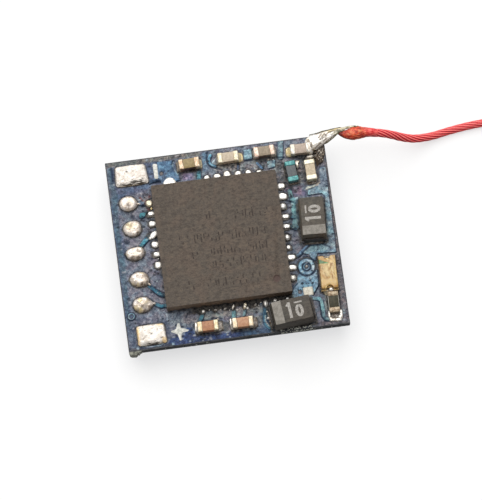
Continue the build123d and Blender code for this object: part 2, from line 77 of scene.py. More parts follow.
def value_noise(p, freq, seed=1):
    """Smooth noise from -1 to 1 at points p, in millimetres."""
    q = np.asarray(p, float) * freq + 1000.0
    i = np.floor(q).astype(np.int64)
    f = q - i
    f = f * f * (3 - 2 * f)
    total = 0.0
    for dx in (0, 1):
        for dy in (0, 1):
            for dz in (0, 1):
                w = (f[:, 0] if dx else 1 - f[:, 0]) * (f[:, 1] if dy else 1 - f[:, 1]) * (f[:, 2] if dz else 1 - f[:, 2])
                total = total + w * lattice(i[:, 0] + dx, i[:, 1] + dy, i[:, 2] + dz, seed)
    return total


def fractal(p, freq, seed=1, octaves=3):
    total, amount = 0.0, 1.0
    for k in range(octaves):
        total = total + amount * value_noise(p, freq * 2 ** k, seed + 17 * k)
        amount *= 0.5
    return total / 1.75


def line_distance(x, y, points):
    best = np.full(x.shape, 1e9)
    for (ax, ay), (bx, by) in zip(points, points[1:]):
        dx, dy = bx - ax, by - ay
        t = np.clip(((x - ax) * dx + (y - ay) * dy) / max(dx * dx + dy * dy, 1e-12), 0, 1)
        best = np.minimum(best, np.hypot(x - ax - t * dx, y - ay - t * dy))
    return best


def area_distance(x, y, corners):
    """Distance to a polygon's border, negative inside."""
    edge = line_distance(x, y, list(corners) + [corners[0]])
    inside = np.zeros(x.shape, bool)
    for (ax, ay), (bx, by) in zip(corners, list(corners[1:]) + [corners[0]]):
        if ay != by:
            inside ^= ((ay > y) != (by > y)) & (x < (bx - ax) * (y - ay) / (by - ay) + ax)
    return np.where(inside, -edge, edge)


def turned_box(cx, cy, length, width, turn):
    c, s = cos(radians(turn)), sin(radians(turn))
    return [(cx + u * c - v * s, cy + u * s + v * c)
            for u, v in ((-length / 2, -width / 2), (length / 2, -width / 2), (length / 2, width / 2), (-length / 2, width / 2))]


def linear(r, g, b):
    """A screen colour, 0 to 255, as scene-linear numbers."""
    return tuple((v / 255 / 12.92) if v <= 10.3 else ((v / 255 + 0.055) / 1.055) ** 2.4 for v in (r, g, b))


# ================================================================ helpers: meshes
class Shape:
    """Vertices in millimetres and faces, added up from several forms."""

    def __init__(self):
        self.verts, self.faces = [], []

    def add(self, verts, faces):
        n = len(self.verts)
        self.verts.extend([tuple(float(c) for c in v) for v in verts])
        self.faces.extend([tuple(int(i) + n for i in f) for f in faces])
        return self


def piece(name, shape, material, replaces=(), angle=None, floats=None, colours=None, flat=False):
    mesh = bpy.data.meshes.new(name)
    coords = np.asarray(shape.verts, float)
    mesh.from_pydata((coords * MM).tolist(), [], shape.faces)
    mesh.update()
    if not flat:
        mesh.shade_smooth()
        if angle is not None:
            mesh.set_sharp_from_angle(angle=radians(angle))
    for key, values in (floats or {}).items():
        mesh.attributes.new(key, "FLOAT", "POINT").data.foreach_set("value", np.asarray(values, np.float32))
    for key, values in (colours or {}).items():
        rgba = np.ones((len(coords), 4), np.float32)
        rgba[:, :3] = values
        mesh.attributes.new(key, "FLOAT_COLOR", "POINT").data.foreach_set("color", rgba.ravel())
    mesh.materials.append(material)
    made = bpy.data.objects.new(name, mesh)
    bpy.context.scene.collection.objects.link(made)
    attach(made, "root")
    if replaces:
        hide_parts(*replaces)
    return made


def bridge(rings, start=0, closed=True):
    """Faces between rings of n points each, numbered one after another."""
    faces = []
    n = rings[1]
    for k in range(rings[0] - 1):
        for i in range(n if closed else n - 1):
            j = (i + 1) % n
            a, b = start + k * n, start + (k + 1) * n
            faces.append((a + i, a + j, b + j, b + i))
    return faces


def rim_of(corners, centre, count, blur=1):
    """Radius of a polygon as seen from its centre, at count even angles."""
    cx, cy = centre
    out = np.zeros(count)
    for k in range(count):
        t = 2 * pi * k / count
        dx, dy = cos(t), sin(t)
        best = 0.0
        for (ax, ay), (bx, by) in zip(corners, list(corners[1:]) + [corners[0]]):
            ax, ay, bx, by = ax - cx, ay - cy, bx - cx, by - cy
            ex, ey = bx - ax, by - ay
            den = dx * ey - dy * ex
            if abs(den) < 1e-12:
                continue
            r = (ax * ey - ay * ex) / den
            w = (ax * dy - ay * dx) / den
            if r > 0 and -1e-9 <= w <= 1 + 1e-9:
                best = max(best, r)
        out[k] = best
    for _ in range(blur):
        out = 0.25 * np.roll(out, 1) + 0.5 * out + 0.25 * np.roll(out, -1)
    return out


def blob(centre, rim, base, height, flat=2.2, steep=0.6, peak=(0.0, 0.0), rings=12, lump=0.0, grain=4.0, seed=1, dents=(), foot=0.012):
    """A closed drop of solder: rim is the radius at even angles."""
    count = len(rim)
    cx, cy = centre
    verts = []
    angles = np.arange(count) * 2 * pi / count
    levels = [1.0 - (k / rings) ** 1.35 for k in range(rings)]
    for k, t in enumerate(levels):
        x = cx + peak[0] * (1 - t) + np.cos(angles) * rim * t
        y = cy + peak[1] * (1 - t) + np.sin(angles) * rim * t
        z = base + height * max(0.0, 1 - t ** flat) ** steep
        verts.extend(zip(x, y, [z] * count))
    verts.append((cx + peak[0], cy + peak[1], base + height))
    verts = np.array(verts)
    if lump:
        share = np.clip((verts[:, 2] - base) / max(height, 1e-6), 0, 1)
        verts[:, 2] += lump * share * fractal(verts, grain, seed)
    for dx, dy, r, depth in dents:
        d = np.hypot(verts[:, 0] - dx, verts[:, 1] - dy) / r
        verts[:, 2] -= depth * np.exp(-d ** 2 * 2.0)
    verts[:, 2] = np.maximum(verts[:, 2], base - 0.001)
    faces = bridge((rings, count))
    last = (rings - 1) * count
    tip = rings * count
    faces += [(last + i, last + (i + 1) % count, tip) for i in range(count)]
    low = verts[:count].copy()
    low[:, 2] = base - foot
    n = len(verts)
    verts = np.vstack([verts, low, [[cx, cy, base - foot]]])
    for i in range(count):
        j = (i + 1) % count
        faces.append((j, i, n + i, n + j))
        faces.append((n + j, n + i, n + count))
    return verts, faces


def oval(rx, ry, turn=0.0, count=18, rough=0.0, seed=1, power=2.0):
    t = np.arange(count) * 2 * pi / count
    a = t - radians(turn)
    r = (np.abs(np.cos(a) / rx) ** power + np.abs(np.sin(a) / ry) ** power) ** (-1 / power)
    if rough:
        q = np.stack([np.cos(t), np.sin(t), np.full(count, seed * 3.7)], 1)
        r = r * (1 + rough * value_noise(q, 1.3, seed))
    return r


def soft_box(centre, size, turn=0.0, radius=0.05, steps=3, across=4, lean=0.0):
    """A closed box with rounded edges; lean is how much its top is narrower at each side."""
    hx, hy, hz = (s / 2 for s in size)
    r = min(radius, hx * 0.98, hy * 0.98, hz * 0.98)

    def marks(h):
        edge = [h - r + r * sin(radians(90 * k / steps)) for k in range(steps + 1)]
        inner = np.linspace(-(h - r), h - r, across + 1)[1:-1]
        return sorted([-e for e in edge] + list(inner) + edge)

    gx, gy, gz = marks(hx), marks(hy), marks(hz)
    index, verts, faces = {}, [], []

    def vert(i, j, k):
        key = (i, j, k)
        if key not in index:
            p = np.array([gx[i], gy[j], gz[k]])
            inner = np.clip(p, [-(hx - r), -(hy - r), -(hz - r)], [hx - r, hy - r, hz - r])
            d = p - inner
            length = np.linalg.norm(d)
            if length > 1e-12:
                p = inner + d / length * r
            index[key] = len(verts)
            verts.append(p)
        return index[key]

    nx, ny, nz = len(gx) - 1, len(gy) - 1, len(gz) - 1
    for i in range(nx):
        for j in range(ny):
            faces.append((vert(i, j, 0), vert(i, j + 1, 0), vert(i + 1, j + 1, 0), vert(i + 1, j, 0)))
            faces.append((vert(i, j, nz), vert(i + 1, j, nz), vert(i + 1, j + 1, nz), vert(i, j + 1, nz)))
    for i in range(nx):
        for k in range(nz):
            faces.append((vert(i, 0, k), vert(i + 1, 0, k), vert(i + 1, 0, k + 1), vert(i, 0, k + 1)))
            faces.append((vert(i, ny, k), vert(i, ny, k + 1), vert(i + 1, ny, k + 1), vert(i + 1, ny, k)))
    for j in range(ny):
        for k in range(nz):
            faces.append((vert(0, j, k), vert(0, j, k + 1), vert(0, j + 1, k + 1), vert(0, j + 1, k)))
            faces.append((vert(nx, j, k), vert(nx, j + 1, k), vert(nx, j + 1, k + 1), vert(nx, j, k + 1)))
    verts = np.array(verts)
    if lean:
        share = (verts[:, 2] + hz) / (2 * hz)
        verts[:, 0] *= 1 - lean * share / hx
        verts[:, 1] *= 1 - lean * share / hy
    c, s = cos(radians(turn)), sin(radians(turn))
    placed = np.stack([centre[0] + verts[:, 0] * c - verts[:, 1] * s,
                       centre[1] + verts[:, 0] * s + verts[:, 1] * c,
                       centre[2] + verts[:, 2]], 1)
    return placed, faces


def rounded(length, width, r, steps=4):
    """Corner points of a rounded rectangle, anticlockwise, about its centre."""
    out = []
    for sx, sy, a0 in ((1, -1, -90), (1, 1, 0), (-1, 1, 90), (-1, -1, 180)):
        cx, cy = sx * (length / 2 - r), sy * (width / 2 - r)
        for k in range(steps + 1):
            a = radians(a0 + 90 * k / steps)
            out.append((cx + r * cos(a), cy + r * sin(a)))
    return out


def placed(points, x, y, turn=0.0):
    c, s = cos(radians(turn)), sin(radians(turn))
    return [(x + u * c - v * s, y + u * s + v * c) for u, v in points]


def plate(outline, low, high, bevel=0.01, dome=0.0):
    """A closed flat plate with a rounded top edge."""
    pts = np.array(outline)
    mid = pts.mean(0)
    n = len(pts)
    size = np.abs(pts - mid).max()
    loops = []
    for inset, z in ((0, low), (0, high - bevel), (bevel * 0.3, high - bevel * 0.3), (bevel, high), (size * 0.5, high + dome * 0.8)):
        k = 1 - inset / size
        loops.append(np.column_stack([mid + (pts - mid) * k, np.full(n, z)]))
    verts = np.vstack(loops + [[[mid[0], mid[1], high + dome]], [[mid[0], mid[1], low]]])
    faces = bridge((len(loops), n))
    last = (len(loops) - 1) * n
    top, bottom = len(loops) * n, len(loops) * n + 1
    faces += [(last + i, last + (i + 1) % n, top) for i in range(n)]
    faces += [((i + 1) % n, i, bottom) for i in range(n)]
    return verts, faces


def tube(path, radius, segments=24, caps=True, ridges=None, flatten=None, lumps=None):
    """A closed tube along points. radius is one number or one for each point."""
    path = np.asarray(path, float)
    n = len(path)
    radius = np.broadcast_to(np.asarray(radius, float), (n,))
    ahead = np.gradient(path, axis=0)
    ahead /= np.linalg.norm(ahead, axis=1)[:, None]
    side = np.cross(ahead, np.array([0, 0, 1.0]))
    side /= np.linalg.norm(side, axis=1)[:, None]
    high = np.cross(side, ahead)
    s = np.concatenate([[0], np.cumsum(np.linalg.norm(np.diff(path, axis=0), axis=1))])
    angle = np.arange(segments) * 2 * pi / segments
    verts = []
    for k in range(n):
        r = np.full(segments, radius[k])
        if ridges:
            count, depth, pitch, phase = ridges[:4]
            wave = np.abs(np.sin((angle * count - 2 * pi * s[k] * count / pitch + phase) / 2))
            r = r * (1 - depth + depth * wave ** 0.7)
        if lumps:
            amount, freq, seed = lumps
            ring = path[k] + np.outer(np.cos(angle), high[k]) * radius[k] + np.outer(np.sin(angle), -side[k]) * radius[k]
            r = r * (1 + amount * fractal(ring, freq, seed))
        wide = 1.0 if flatten is None else flatten[k]
        verts.extend(path[k] + np.outer(np.cos(angle) * r, high[k]) - np.outer(np.sin(angle) * r * wide, side[k]))
    verts = np.array(verts)
    faces = [f[::-1] for f in bridge((n, segments))]
    if caps:
        first, last = len(verts), len(verts) + 1
        verts = np.vstack([verts, path[0], path[-1]])
        faces += [(first, i, (i + 1) % segments) for i in range(segments)]
        end = (n - 1) * segments
        faces += [(last, end + (i + 1) % segments, end + i) for i in range(segments)]
    return verts, faces, s


def catmull(points, per=10):
    """A smooth line of close points through a few given ones."""
    p = [np.array(q, float) for q in points]
    p = [2 * p[0] - p[1]] + p + [2 * p[-1] - p[-2]]
    out = []
    for k in range(1, len(p) - 2):
        for i in range(per):
            t = i / per
            a, b, c, d = p[k - 1], p[k], p[k + 1], p[k + 2]
            out.append(0.5 * (2 * b + (c - a) * t + (2 * a - 5 * b + 4 * c - d) * t * t + (3 * b - a - 3 * c + d) * t ** 3))
    out.append(p[-2])
    return np.array(out)


# ================================================================ helpers: materials
class Finish:
    """A principled material with small helpers for its nodes. Noise sizes are in millimetres."""

    def __init__(self, name, colour, rough=0.5, metal=0.0, specular=0.5, **more):
        self.m = bpy.data.materials.new(name)
        self.m.use_nodes = True
        self.tree = self.m.node_tree
        self.tree.nodes.clear()
        out = self.tree.nodes.new("ShaderNodeOutputMaterial")
        self.b = self.tree.nodes.new("ShaderNodeBsdfPrincipled")
        self.tree.links.new(self.b.outputs[0], out.inputs[0])
        self.set("Base Color", (*colour, 1) if len(colour) == 3 else colour)
        self.set("Roughness", rough)
        self.set("Metallic", metal)
        self.set("Specular IOR Level", specular)
        for key, value in more.items():
            self.set(key.replace("_", " "), value)
        coord = self.tree.nodes.new("ShaderNodeTexCoord")
        scale = self.tree.nodes.new("ShaderNodeVectorMath")
        scale.operation = "SCALE"
        scale.inputs["Scale"].default_value = 1000.0
        self.tree.links.new(coord.outputs["Object"], scale.inputs[0])
        self.mm = scale.outputs[0]

    def set(self, socket, value):
        s = self.b.inputs[socket]
        if isinstance(value, bpy.types.NodeSocket):
            self.tree.links.new(value, s)
        elif hasattr(value, "__len__") and len(value) == 3 and s.type == "RGBA":
            s.default_value = (*value, 1)
        else:
            s.default_value = value

    def node(self, kind, outputs=0, settings=None, **inputs):
        n = self.tree.nodes.new(kind)
        for key, value in (settings or {}).items():
            setattr(n, key, value)
        for key, value in inputs.items():
            s = n.inputs[int(key[1:])] if key[0] == "i" and key[1:].isdigit() else n.inputs[key.replace("_", " ")]
            if isinstance(value, bpy.types.NodeSocket):
                self.tree.links.new(value, s)
            else:
                s.default_value = value
        return n.outputs[outputs]

    def noise(self, freq, detail=3.0, rough=0.55, warp=0.0, at=None):
        return self.node("ShaderNodeTexNoise", 0, None, Vector=at or self.mm, Scale=freq, Detail=detail, Roughness=rough, Distortion=warp)

    def stretch(self, scale, turn=(0, 0, 0), shift=(0, 0, 0), at=None):
        return self.node("ShaderNodeMapping", 0, {"vector_type": "POINT"}, Vector=at or self.mm, Scale=scale, Rotation=turn, Location=shift)

    def step(self, value, a, b, low=0.0, high=1.0):
        n = self.tree.nodes.new("ShaderNodeMapRange")
        n.interpolation_type = "SMOOTHSTEP"
        self.tree.links.new(value, n.inputs["Value"])
        for key, v in (("From Min", a), ("From Max", b), ("To Min", low), ("To Max", high)):
            n.inputs[key].default_value = v
        return n.outputs[0]

    def math(self, op, a, b=0.0, clamp=False):
        return self.node("ShaderNodeMath", 0, {"operation": op, "use_clamp": clamp}, i0=a, i1=b)

    def mix(self, fac, a, b, blend="MIX"):
        n = self.tree.nodes.new("ShaderNodeMix")
        n.data_type, n.blend_type = "RGBA", blend
        for s, v in ((n.inputs[0], fac), (n.inputs[6], a), (n.inputs[7], b)):
            if isinstance(v, bpy.types.NodeSocket):
                self.tree.links.new(v, s)
            elif hasattr(v, "__len__"):
                s.default_value = (*v, 1) if len(v) == 3 else v
            else:
                s.default_value = v
        return n.outputs[2]

    def attribute(self, name, colour=False):
        n = self.tree.nodes.new("ShaderNodeAttribute")
        n.attribute_name = name
        return n.outputs["Color" if colour else "Fac"]

    def axis(self, which, at=None):
        n = self.tree.nodes.new("ShaderNodeSeparateXYZ")
        self.tree.links.new(at or self.mm, n.inputs[0])
        return n.outputs[which]

    def bump(self, height, depth_mm, strength=1.0, under=None):
        n = self.tree.nodes.new("ShaderNodeBump")
        n.inputs["Strength"].default_value = strength
        n.inputs["Distance"].default_value = depth_mm * MM
        self.tree.links.new(height, n.inputs["Height"])
        if under is not None:
            self.tree.links.new(under, n.inputs["Normal"])
        return n.outputs[0]


def sum_of(f, a, b, ka=1.0, kb=1.0):
    return f.math("ADD", f.math("MULTIPLY", a, ka), f.math("MULTIPLY", b, kb))


# ================================================================ materials
def make_solder(name, tone=(0.80, 0.765, 0.71), rough=0.26, lumps=0.02, with_stain_and_shade=True, metal=0.78, mottle=1.0):
    f = Finish(name, tone, rough, metal=metal)
    fine = f.noise(11.0, 4.0, 0.66)
    wide = f.noise(4.5, 2.0, 0.5, 0.4)
    colour = f.mix(f.step(wide, 0.42, 0.60, 0.0, mottle), tone, (tone[0] * 0.80, tone[1] * 0.74, tone[2] * 0.66))
    colour = f.mix(f.step(fine, 0.56, 0.66, 0.0, 0.60 * mottle), colour, (tone[0] * 0.36, tone[1] * 0.29, tone[2] * 0.22))
    if with_stain_and_shade:
        # this attribute darkens real stains and also paints shade at the foot of the solder
        stain_and_shade = f.attribute("stain_and_shade")
        broken = f.math("MULTIPLY", stain_and_shade, f.step(f.noise(9.0, 4.0, 0.65, 0.8), 0.25, 0.62, 0.35, 1.0), True)
        colour = f.mix(broken, colour, (0.090, 0.052, 0.026))
        gold = f.attribute("gold")
        colour = f.mix(f.math("MULTIPLY", gold, f.step(f.noise(7.0, 3.0), 0.3, 0.6, 0.5, 1.0), True), colour, (0.70, 0.56, 0.28))
        f.set("Metallic", f.step(stain_and_shade, 0.25, 0.9, metal, 0.10))
    f.set("Base Color", colour)
    f.set("Roughness", f.step(fine, 0.3, 0.75, rough * 0.75, rough * 1.7))
    f.set("Normal", f.bump(sum_of(f, wide, fine, 0.8, 0.25), lumps))
    return f.m


solder_bright = make_solder("solder_bright", (0.88, 0.85, 0.80), rough=0.28, lumps=0.016, metal=0.55, mottle=0.7)
solder_lead = make_solder("solder_lead", (0.94, 0.92, 0.88), rough=0.30, lumps=0.005, metal=0.50, mottle=0.35)
solder_dome = make_solder("solder_dome", (0.81, 0.735, 0.672), rough=0.30, lumps=0.020, metal=0.36, mottle=0.85)
solder_lump = make_solder("solder_lump", (0.93, 0.90, 0.85), rough=0.30, lumps=0.018, metal=0.42, mottle=0.6)
solder_plain = make_solder("solder_plain", (0.78, 0.75, 0.70), 0.30, 0.012, with_stain_and_shade=False)

# flat battery pads: wiped solder with scratches that run along the pad
f = Finish("pad_tin", (0.62, 0.59, 0.54), 0.36, metal=0.34)
along = f.stretch((3.6, 13.0, 12.0), turn=(0, 0, radians(5)))
scratch = f.noise(1.0, 4.0, 0.7, 0.6, at=along)
wide = f.noise(3.2, 3.0, 0.55, 0.5)
worn = f.attribute("stain_and_shade")
deep = f.math("MULTIPLY", f.step(scratch, 0.455, 0.505), worn, True)
pits = f.step(f.noise(7.0, 5.0, 0.72, 0.5), 0.53, 0.62, 0.0, 0.62)
pads_low = f.step(f.noise(2.4, 4.0, 0.6, 0.8), 0.46, 0.60, 0.0, 0.5)
colour = f.mix(f.step(wide, 0.42, 0.60), (0.765, 0.715, 0.66), (0.58, 0.53, 0.475))
colour = f.mix(pads_low, colour, (0.52, 0.47, 0.41))
colour = f.mix(pits, colour, (0.26, 0.205, 0.155))
colour = f.mix(deep, colour, (0.050, 0.040, 0.030))
colour = f.mix(f.math("MULTIPLY", f.attribute("gold"), f.step(f.noise(8.0, 3.0), 0.25, 0.55, 0.4, 1.0), True), colour, (0.70, 0.50, 0.25))
f.set("Base Color", colour)
f.set("Roughness", f.step(scratch, 0.3, 0.7, 0.22, 0.42))
f.set("Metallic", f.step(deep, 0.2, 0.8, 0.34, 0.1))
f.set("Normal", f.bump(sum_of(f, scratch, wide, 0.45, 1.0), 0.020))
pad_tin = f.m

# solder mask: tints come from where copper lies under it
f = Finish("board_mask", (0.1, 0.11, 0.15), 0.42, specular=0.16)
bare, over, copper_edge = f.attribute("bare", True), f.attribute("over", True), f.attribute("cu")
grain = f.noise(6.5, 5.0, 0.68, 0.4)
speckle = f.noise(13.0, 4.0, 0.70)
patch = f.noise(1.9, 4.0, 0.62, 0.9)
blotch = f.noise(3.6, 4.0, 0.66, 0.5)
vein_at = f.noise(0.95, 6.0, 0.62, 2.2)
vein = f.step(f.math("ABSOLUTE", f.math("SUBTRACT", vein_at, 0.52)), 0.016, 0.004)
vein_light = f.step(f.math("ABSOLUTE", f.math("SUBTRACT", vein_at, 0.552)), 0.014, 0.003)
# rim: a dark outline along the copper edges, painted shade
rim = f.math("MULTIPLY", f.step(copper_edge, 0.085, 0.030), f.step(copper_edge, -0.016, 0.004), True)
colour = f.mix(f.step(copper_edge, 0.012, -0.012), bare, over)
for field, low, high, dim, lit in ((patch, 0.42, 0.58, (0.90, 1.02, 1.08), (1.09, 0.985, 1.00)),
                                   (blotch, 0.40, 0.60, (0.78, 0.78, 0.84), (1.20, 1.20, 1.16)),
                                   (grain, 0.40, 0.60, (0.56, 0.59, 0.65), (1.46, 1.44, 1.38)),
                                   (speckle, 0.35, 0.43, (1.45, 1.42, 1.36), (1.0, 1.0, 1.0)),
                                   (speckle, 0.57, 0.63, (1.0, 1.0, 1.0), (0.26, 0.28, 0.34))):
    colour = f.mix(1.0, colour, f.mix(f.step(field, low, high), dim, lit), "MULTIPLY")
colour = f.mix(f.math("MULTIPLY", vein, f.step(patch, 0.44, 0.55, 0.05, 0.60)), colour, (0.010, 0.022, 0.050))
colour = f.mix(f.math("MULTIPLY", vein_light, f.step(patch, 0.44, 0.55, 0.02, 0.30)), colour, (0.28, 0.36, 0.42))
# painted shade: the outline darkens most on copper edges whose outside faces +X and -Y
colour = f.mix(f.math("MULTIPLY", rim, f.attribute("shade"), True), colour, (0.004, 0.012, 0.030))
# this attribute darkens the mask round parts and solder: flux, and painted contact shade
colour = f.mix(f.attribute("flux_and_contact_shade"), colour, f.mix(f.step(grain, 0.42, 0.58), (0.008, 0.008, 0.009), (0.092, 0.080, 0.066)))
f.set("Base Color", colour)
f.set("Roughness", f.step(grain, 0.3, 0.7, 0.34, 0.55))
f.set("Normal", f.bump(sum_of(f, grain, blotch, 0.6, 0.9), 0.034))
board_mask = f.m

# bare laminate: woven glass in resin, seen at the board's rim and on its sides
f = Finish("laminate", (0.08, 0.075, 0.06), 0.6, specular=0.35)
z = f.axis("Z")
layers = f.math("SINE", f.math("MULTIPLY", z, 52.0))
streak = f.noise(1.0, 4.0, 0.65, 0.3, at=f.stretch((3.0, 3.0, 26.0)))
core = f.mix(f.step(streak, 0.42, 0.60), (0.008, 0.010, 0.013), (0.040, 0.044, 0.048))
core = f.mix(f.step(layers, 0.2, 0.95, 0.0, 0.22), core, (0.050, 0.053, 0.052))
skin = f.mix(f.step(f.noise(5.0, 4.0, 0.6), 0.35, 0.65), (0.020, 0.022, 0.028), (0.090, 0.090, 0.092))
blue = (0.018, 0.032, 0.080)
top_side = f.step(z, TOP - 0.030, TOP - 0.010)
low_side = f.step(z, 0.985, 0.965)
n = f.tree.nodes.new("ShaderNodeNewGeometry")
facing = f.axis("Z", at=n.outputs["True Normal"])
core = f.mix(f.math("MULTIPLY", f.step(z, 1.34, 1.44, 0.0, 0.6), f.step(streak, 0.46, 0.54)), core, (0.050, 0.056, 0.068))
colour = f.mix(top_side, core, blue)
colour = f.mix(low_side, colour, blue)
colour = f.mix(f.step(facing, 0.4, 0.6), colour, skin)
colour = f.mix(f.step(facing, -0.4, -0.6), colour, (0.035, 0.070, 0.165))
stub = f.math("MULTIPLY", f.step(f.axis("Y"), -4.66, -4.70), f.step(f.axis("X"), -4.55, -4.66))
colour = f.mix(stub, colour, f.mix(f.step(streak, 0.42, 0.6), (0.085, 0.088, 0.070), (0.31, 0.31, 0.255)))
f.set("Base Color", colour)
f.set("Normal", f.bump(streak, 0.03))
laminate = f.m

f = Finish("glass_fibre", (0.55, 0.56, 0.50), 0.5)
f.set("Base Color", f.mix(f.step(f.noise(18.0), 0.35, 0.65), (0.20, 0.20, 0.17), (0.70, 0.71, 0.64)))
glass_fibre = f.m


def make_mould(name, tone, light, rough=0.62, side=(2.5, 2.3, 2.1)):
    f = Finish(name, tone, rough, specular=0.38)
    fine = f.noise(11.0, 4.0, 0.68)
    mid = f.noise(5.8, 5.0, 0.74, 0.3)
    wide = f.noise(0.9, 3.0, 0.55, 0.6)
    dash = f.noise(1.0, 4.0, 0.7, 0.2, at=f.stretch((5.4, 11.5, 8.0), turn=(0, 0, radians(-8))))
    colour = f.mix(f.step(fine, 0.44, 0.56), tone, light)
    colour = f.mix(f.step(wide, 0.42, 0.62, 0.0, 0.55), colour, (light[0] * 1.16, light[1] * 1.00, light[2] * 0.94))
    colour = f.mix(f.step(mid, 0.53, 0.60, 0.0, 0.52), colour, (tone[0] * 0.44, tone[1] * 0.39, tone[2] * 0.33))
    colour = f.mix(f.step(mid, 0.46, 0.38, 0.0, 0.46), colour, (light[0] * 1.55, light[1] * 1.48, light[2] * 1.32))
    colour = f.mix(f.step(dash, 0.54, 0.60, 0.0, 0.44), colour, (tone[0] * 0.48, tone[1] * 0.42, tone[2] * 0.35))
    colour = f.mix(f.step(dash, 0.46, 0.39, 0.0, 0.34), colour, (light[0] * 1.48, light[1] * 1.42, light[2] * 1.28))
    colour = f.mix(f.step(fine, 0.60, 0.66, 0.0, 0.75), colour, (tone[0] * 0.30, tone[1] * 0.26, tone[2] * 0.22))
    colour = f.mix(f.step(f.noise(6.5, 6.0, 0.80, 0.6), 0.615, 0.655, 0.0, 0.85), colour, (tone[0] * 0.22, tone[1] * 0.17, tone[2] * 0.14))
    # upright faces have their colour multiplied by side: painted light that brightens the moulding's sides
    shape_at = f.tree.nodes.new("ShaderNodeNewGeometry")
    upright = f.step(f.math("ABSOLUTE", f.axis("Z", at=shape_at.outputs["True Normal"])), 0.75, 0.35)
    colour = f.mix(upright, colour, f.mix(1.0, colour, side, "MULTIPLY"))
    f.set("Roughness", f.step(fine, 0.3, 0.7, rough * 0.88, rough * 1.15))
    f.set("Normal", f.bump(sum_of(f, fine, mid, 0.5, 0.5), 0.014))
    return f, colour


# the chip's sides are brightened by the default side factor: painted light
f, colour = make_mould("mould_dark", (0.073, 0.056, 0.043), (0.095, 0.075, 0.057))
# mould dimple: a little redder than the face
at = f.node("ShaderNodeVectorMath", 1, {"operation": "DISTANCE"}, i0=f.mm, i1=(2.11, -2.25, 2.43))
colour = f.mix(f.step(at, 0.21, 0.15, 0.0, 0.75), colour, (0.070, 0.036, 0.030))
f.set("Base Color", colour)
mould_dark = f.m

f, colour = make_mould("mould_under", (0.045, 0.043, 0.042), (0.065, 0.062, 0.060))
f.set("Base Color", colour)
mould_under = f.m

f = Finish("laser_mark", (0.07, 0.058, 0.048), 0.75)
f.set("Base Color", f.mix(f.step(f.noise(6.0, 4.0, 0.7), 0.50, 0.60), (0.030, 0.019, 0.013), (0.080, 0.064, 0.050)))
f.set("Normal", f.bump(f.noise(30.0), 0.01))
laser_mark = f.m


def make_tantalum(name, x, y, turn, dim, side):
    """The mould's face, with the painted band across the end of its positive lead."""
    f, colour = make_mould(name, (0.064 * dim, 0.057 * dim, 0.046 * dim), (0.084 * dim, 0.076 * dim, 0.062 * dim), 0.58, side)
    c, s = cos(radians(turn)), sin(radians(turn))
    local = f.math("ADD", f.math("MULTIPLY", f.math("SUBTRACT", f.axis("X"), x), c), f.math("MULTIPLY", f.math("SUBTRACT", f.axis("Y"), y), s))
    wobble = f.math("MULTIPLY", f.math("SUBTRACT", f.noise(9.0), 0.5), 0.03)
    band = f.step(f.math("ADD", local, wobble), -0.455, -0.475)
    n = f.tree.nodes.new("ShaderNodeNewGeometry")
    upward = f.step(f.axis("Z", at=n.outputs["True Normal"]), 0.55, 0.75)
    painted = f.math("MULTIPLY", f.math("MULTIPLY", band, upward), f.step(f.noise(16.0, 4.0, 0.7), 0.24, 0.42, 0.62, 1.0), True)
    ink = f.mix(f.step(f.noise(8.0, 4.0, 0.6), 0.35, 0.65), (0.185, 0.168, 0.142), (0.290, 0.266, 0.232))
    f.set("Base Color", f.mix(painted, colour, ink))
    return f.m


# side brightens the upright faces of each tantalum moulding: painted light
tantalum_1_mould = make_tantalum("tantalum_1_mould", 4.20, 0.48, 87.7, 1.0, (1.6, 1.5, 1.36))
tantalum_2_mould = make_tantalum("tantalum_2_mould", 2.61, -3.92, 5.4, 0.86, (1.0, 0.96, 0.92))

f = Finish("mark_ink", (0.52, 0.49, 0.45), 0.6)
f.set("Base Color", f.mix(f.step(f.noise(20.0, 3.0, 0.7), 0.32, 0.62), (0.22, 0.20, 0.175), (0.46, 0.435, 0.40)))
f.set("Normal", f.bump(f.noise(25.0), 0.008))
mark_ink = f.m

f = Finish("board_ink", (0.66, 0.66, 0.60), 0.55)
f.set("Base Color", f.mix(f.step(f.noise(9.0, 4.0, 0.65), 0.34, 0.66), (0.50, 0.51, 0.46), (0.80, 0.79, 0.73)))
f.set("Normal", f.bump(f.noise(14.0, 3.0), 0.012))
board_ink = f.m


def make_ceramic(name, tone, dark, rough=0.42, side=None):
    f = Finish(name, tone, rough, specular=0.5)
    grain = f.noise(9.0, 4.0, 0.6, 0.2)
    fine = f.noise(34.0, 2.0, 0.6)
    colour = f.mix(f.step(grain, 0.36, 0.68), dark, tone)
    colour = f.mix(f.step(fine, 0.58, 0.72, 0.0, 0.35), colour, tuple(v * 0.55 for v in dark))
    # side is the colour given to upright faces: painted shade on the part's sides
    if side:
        shape_at = f.tree.nodes.new("ShaderNodeNewGeometry")
        upright = f.step(f.math("ABSOLUTE", f.axis("Z", at=shape_at.outputs["True Normal"])), 0.75, 0.35)
        colour = f.mix(upright, colour, side)
    f.set("Base Color", colour)
    f.set("Roughness", f.step(grain, 0.3, 0.7, rough * 0.8, rough * 1.2))
    f.set("Normal", f.bump(sum_of(f, grain, fine, 0.6, 0.4), 0.010))
    return f.m


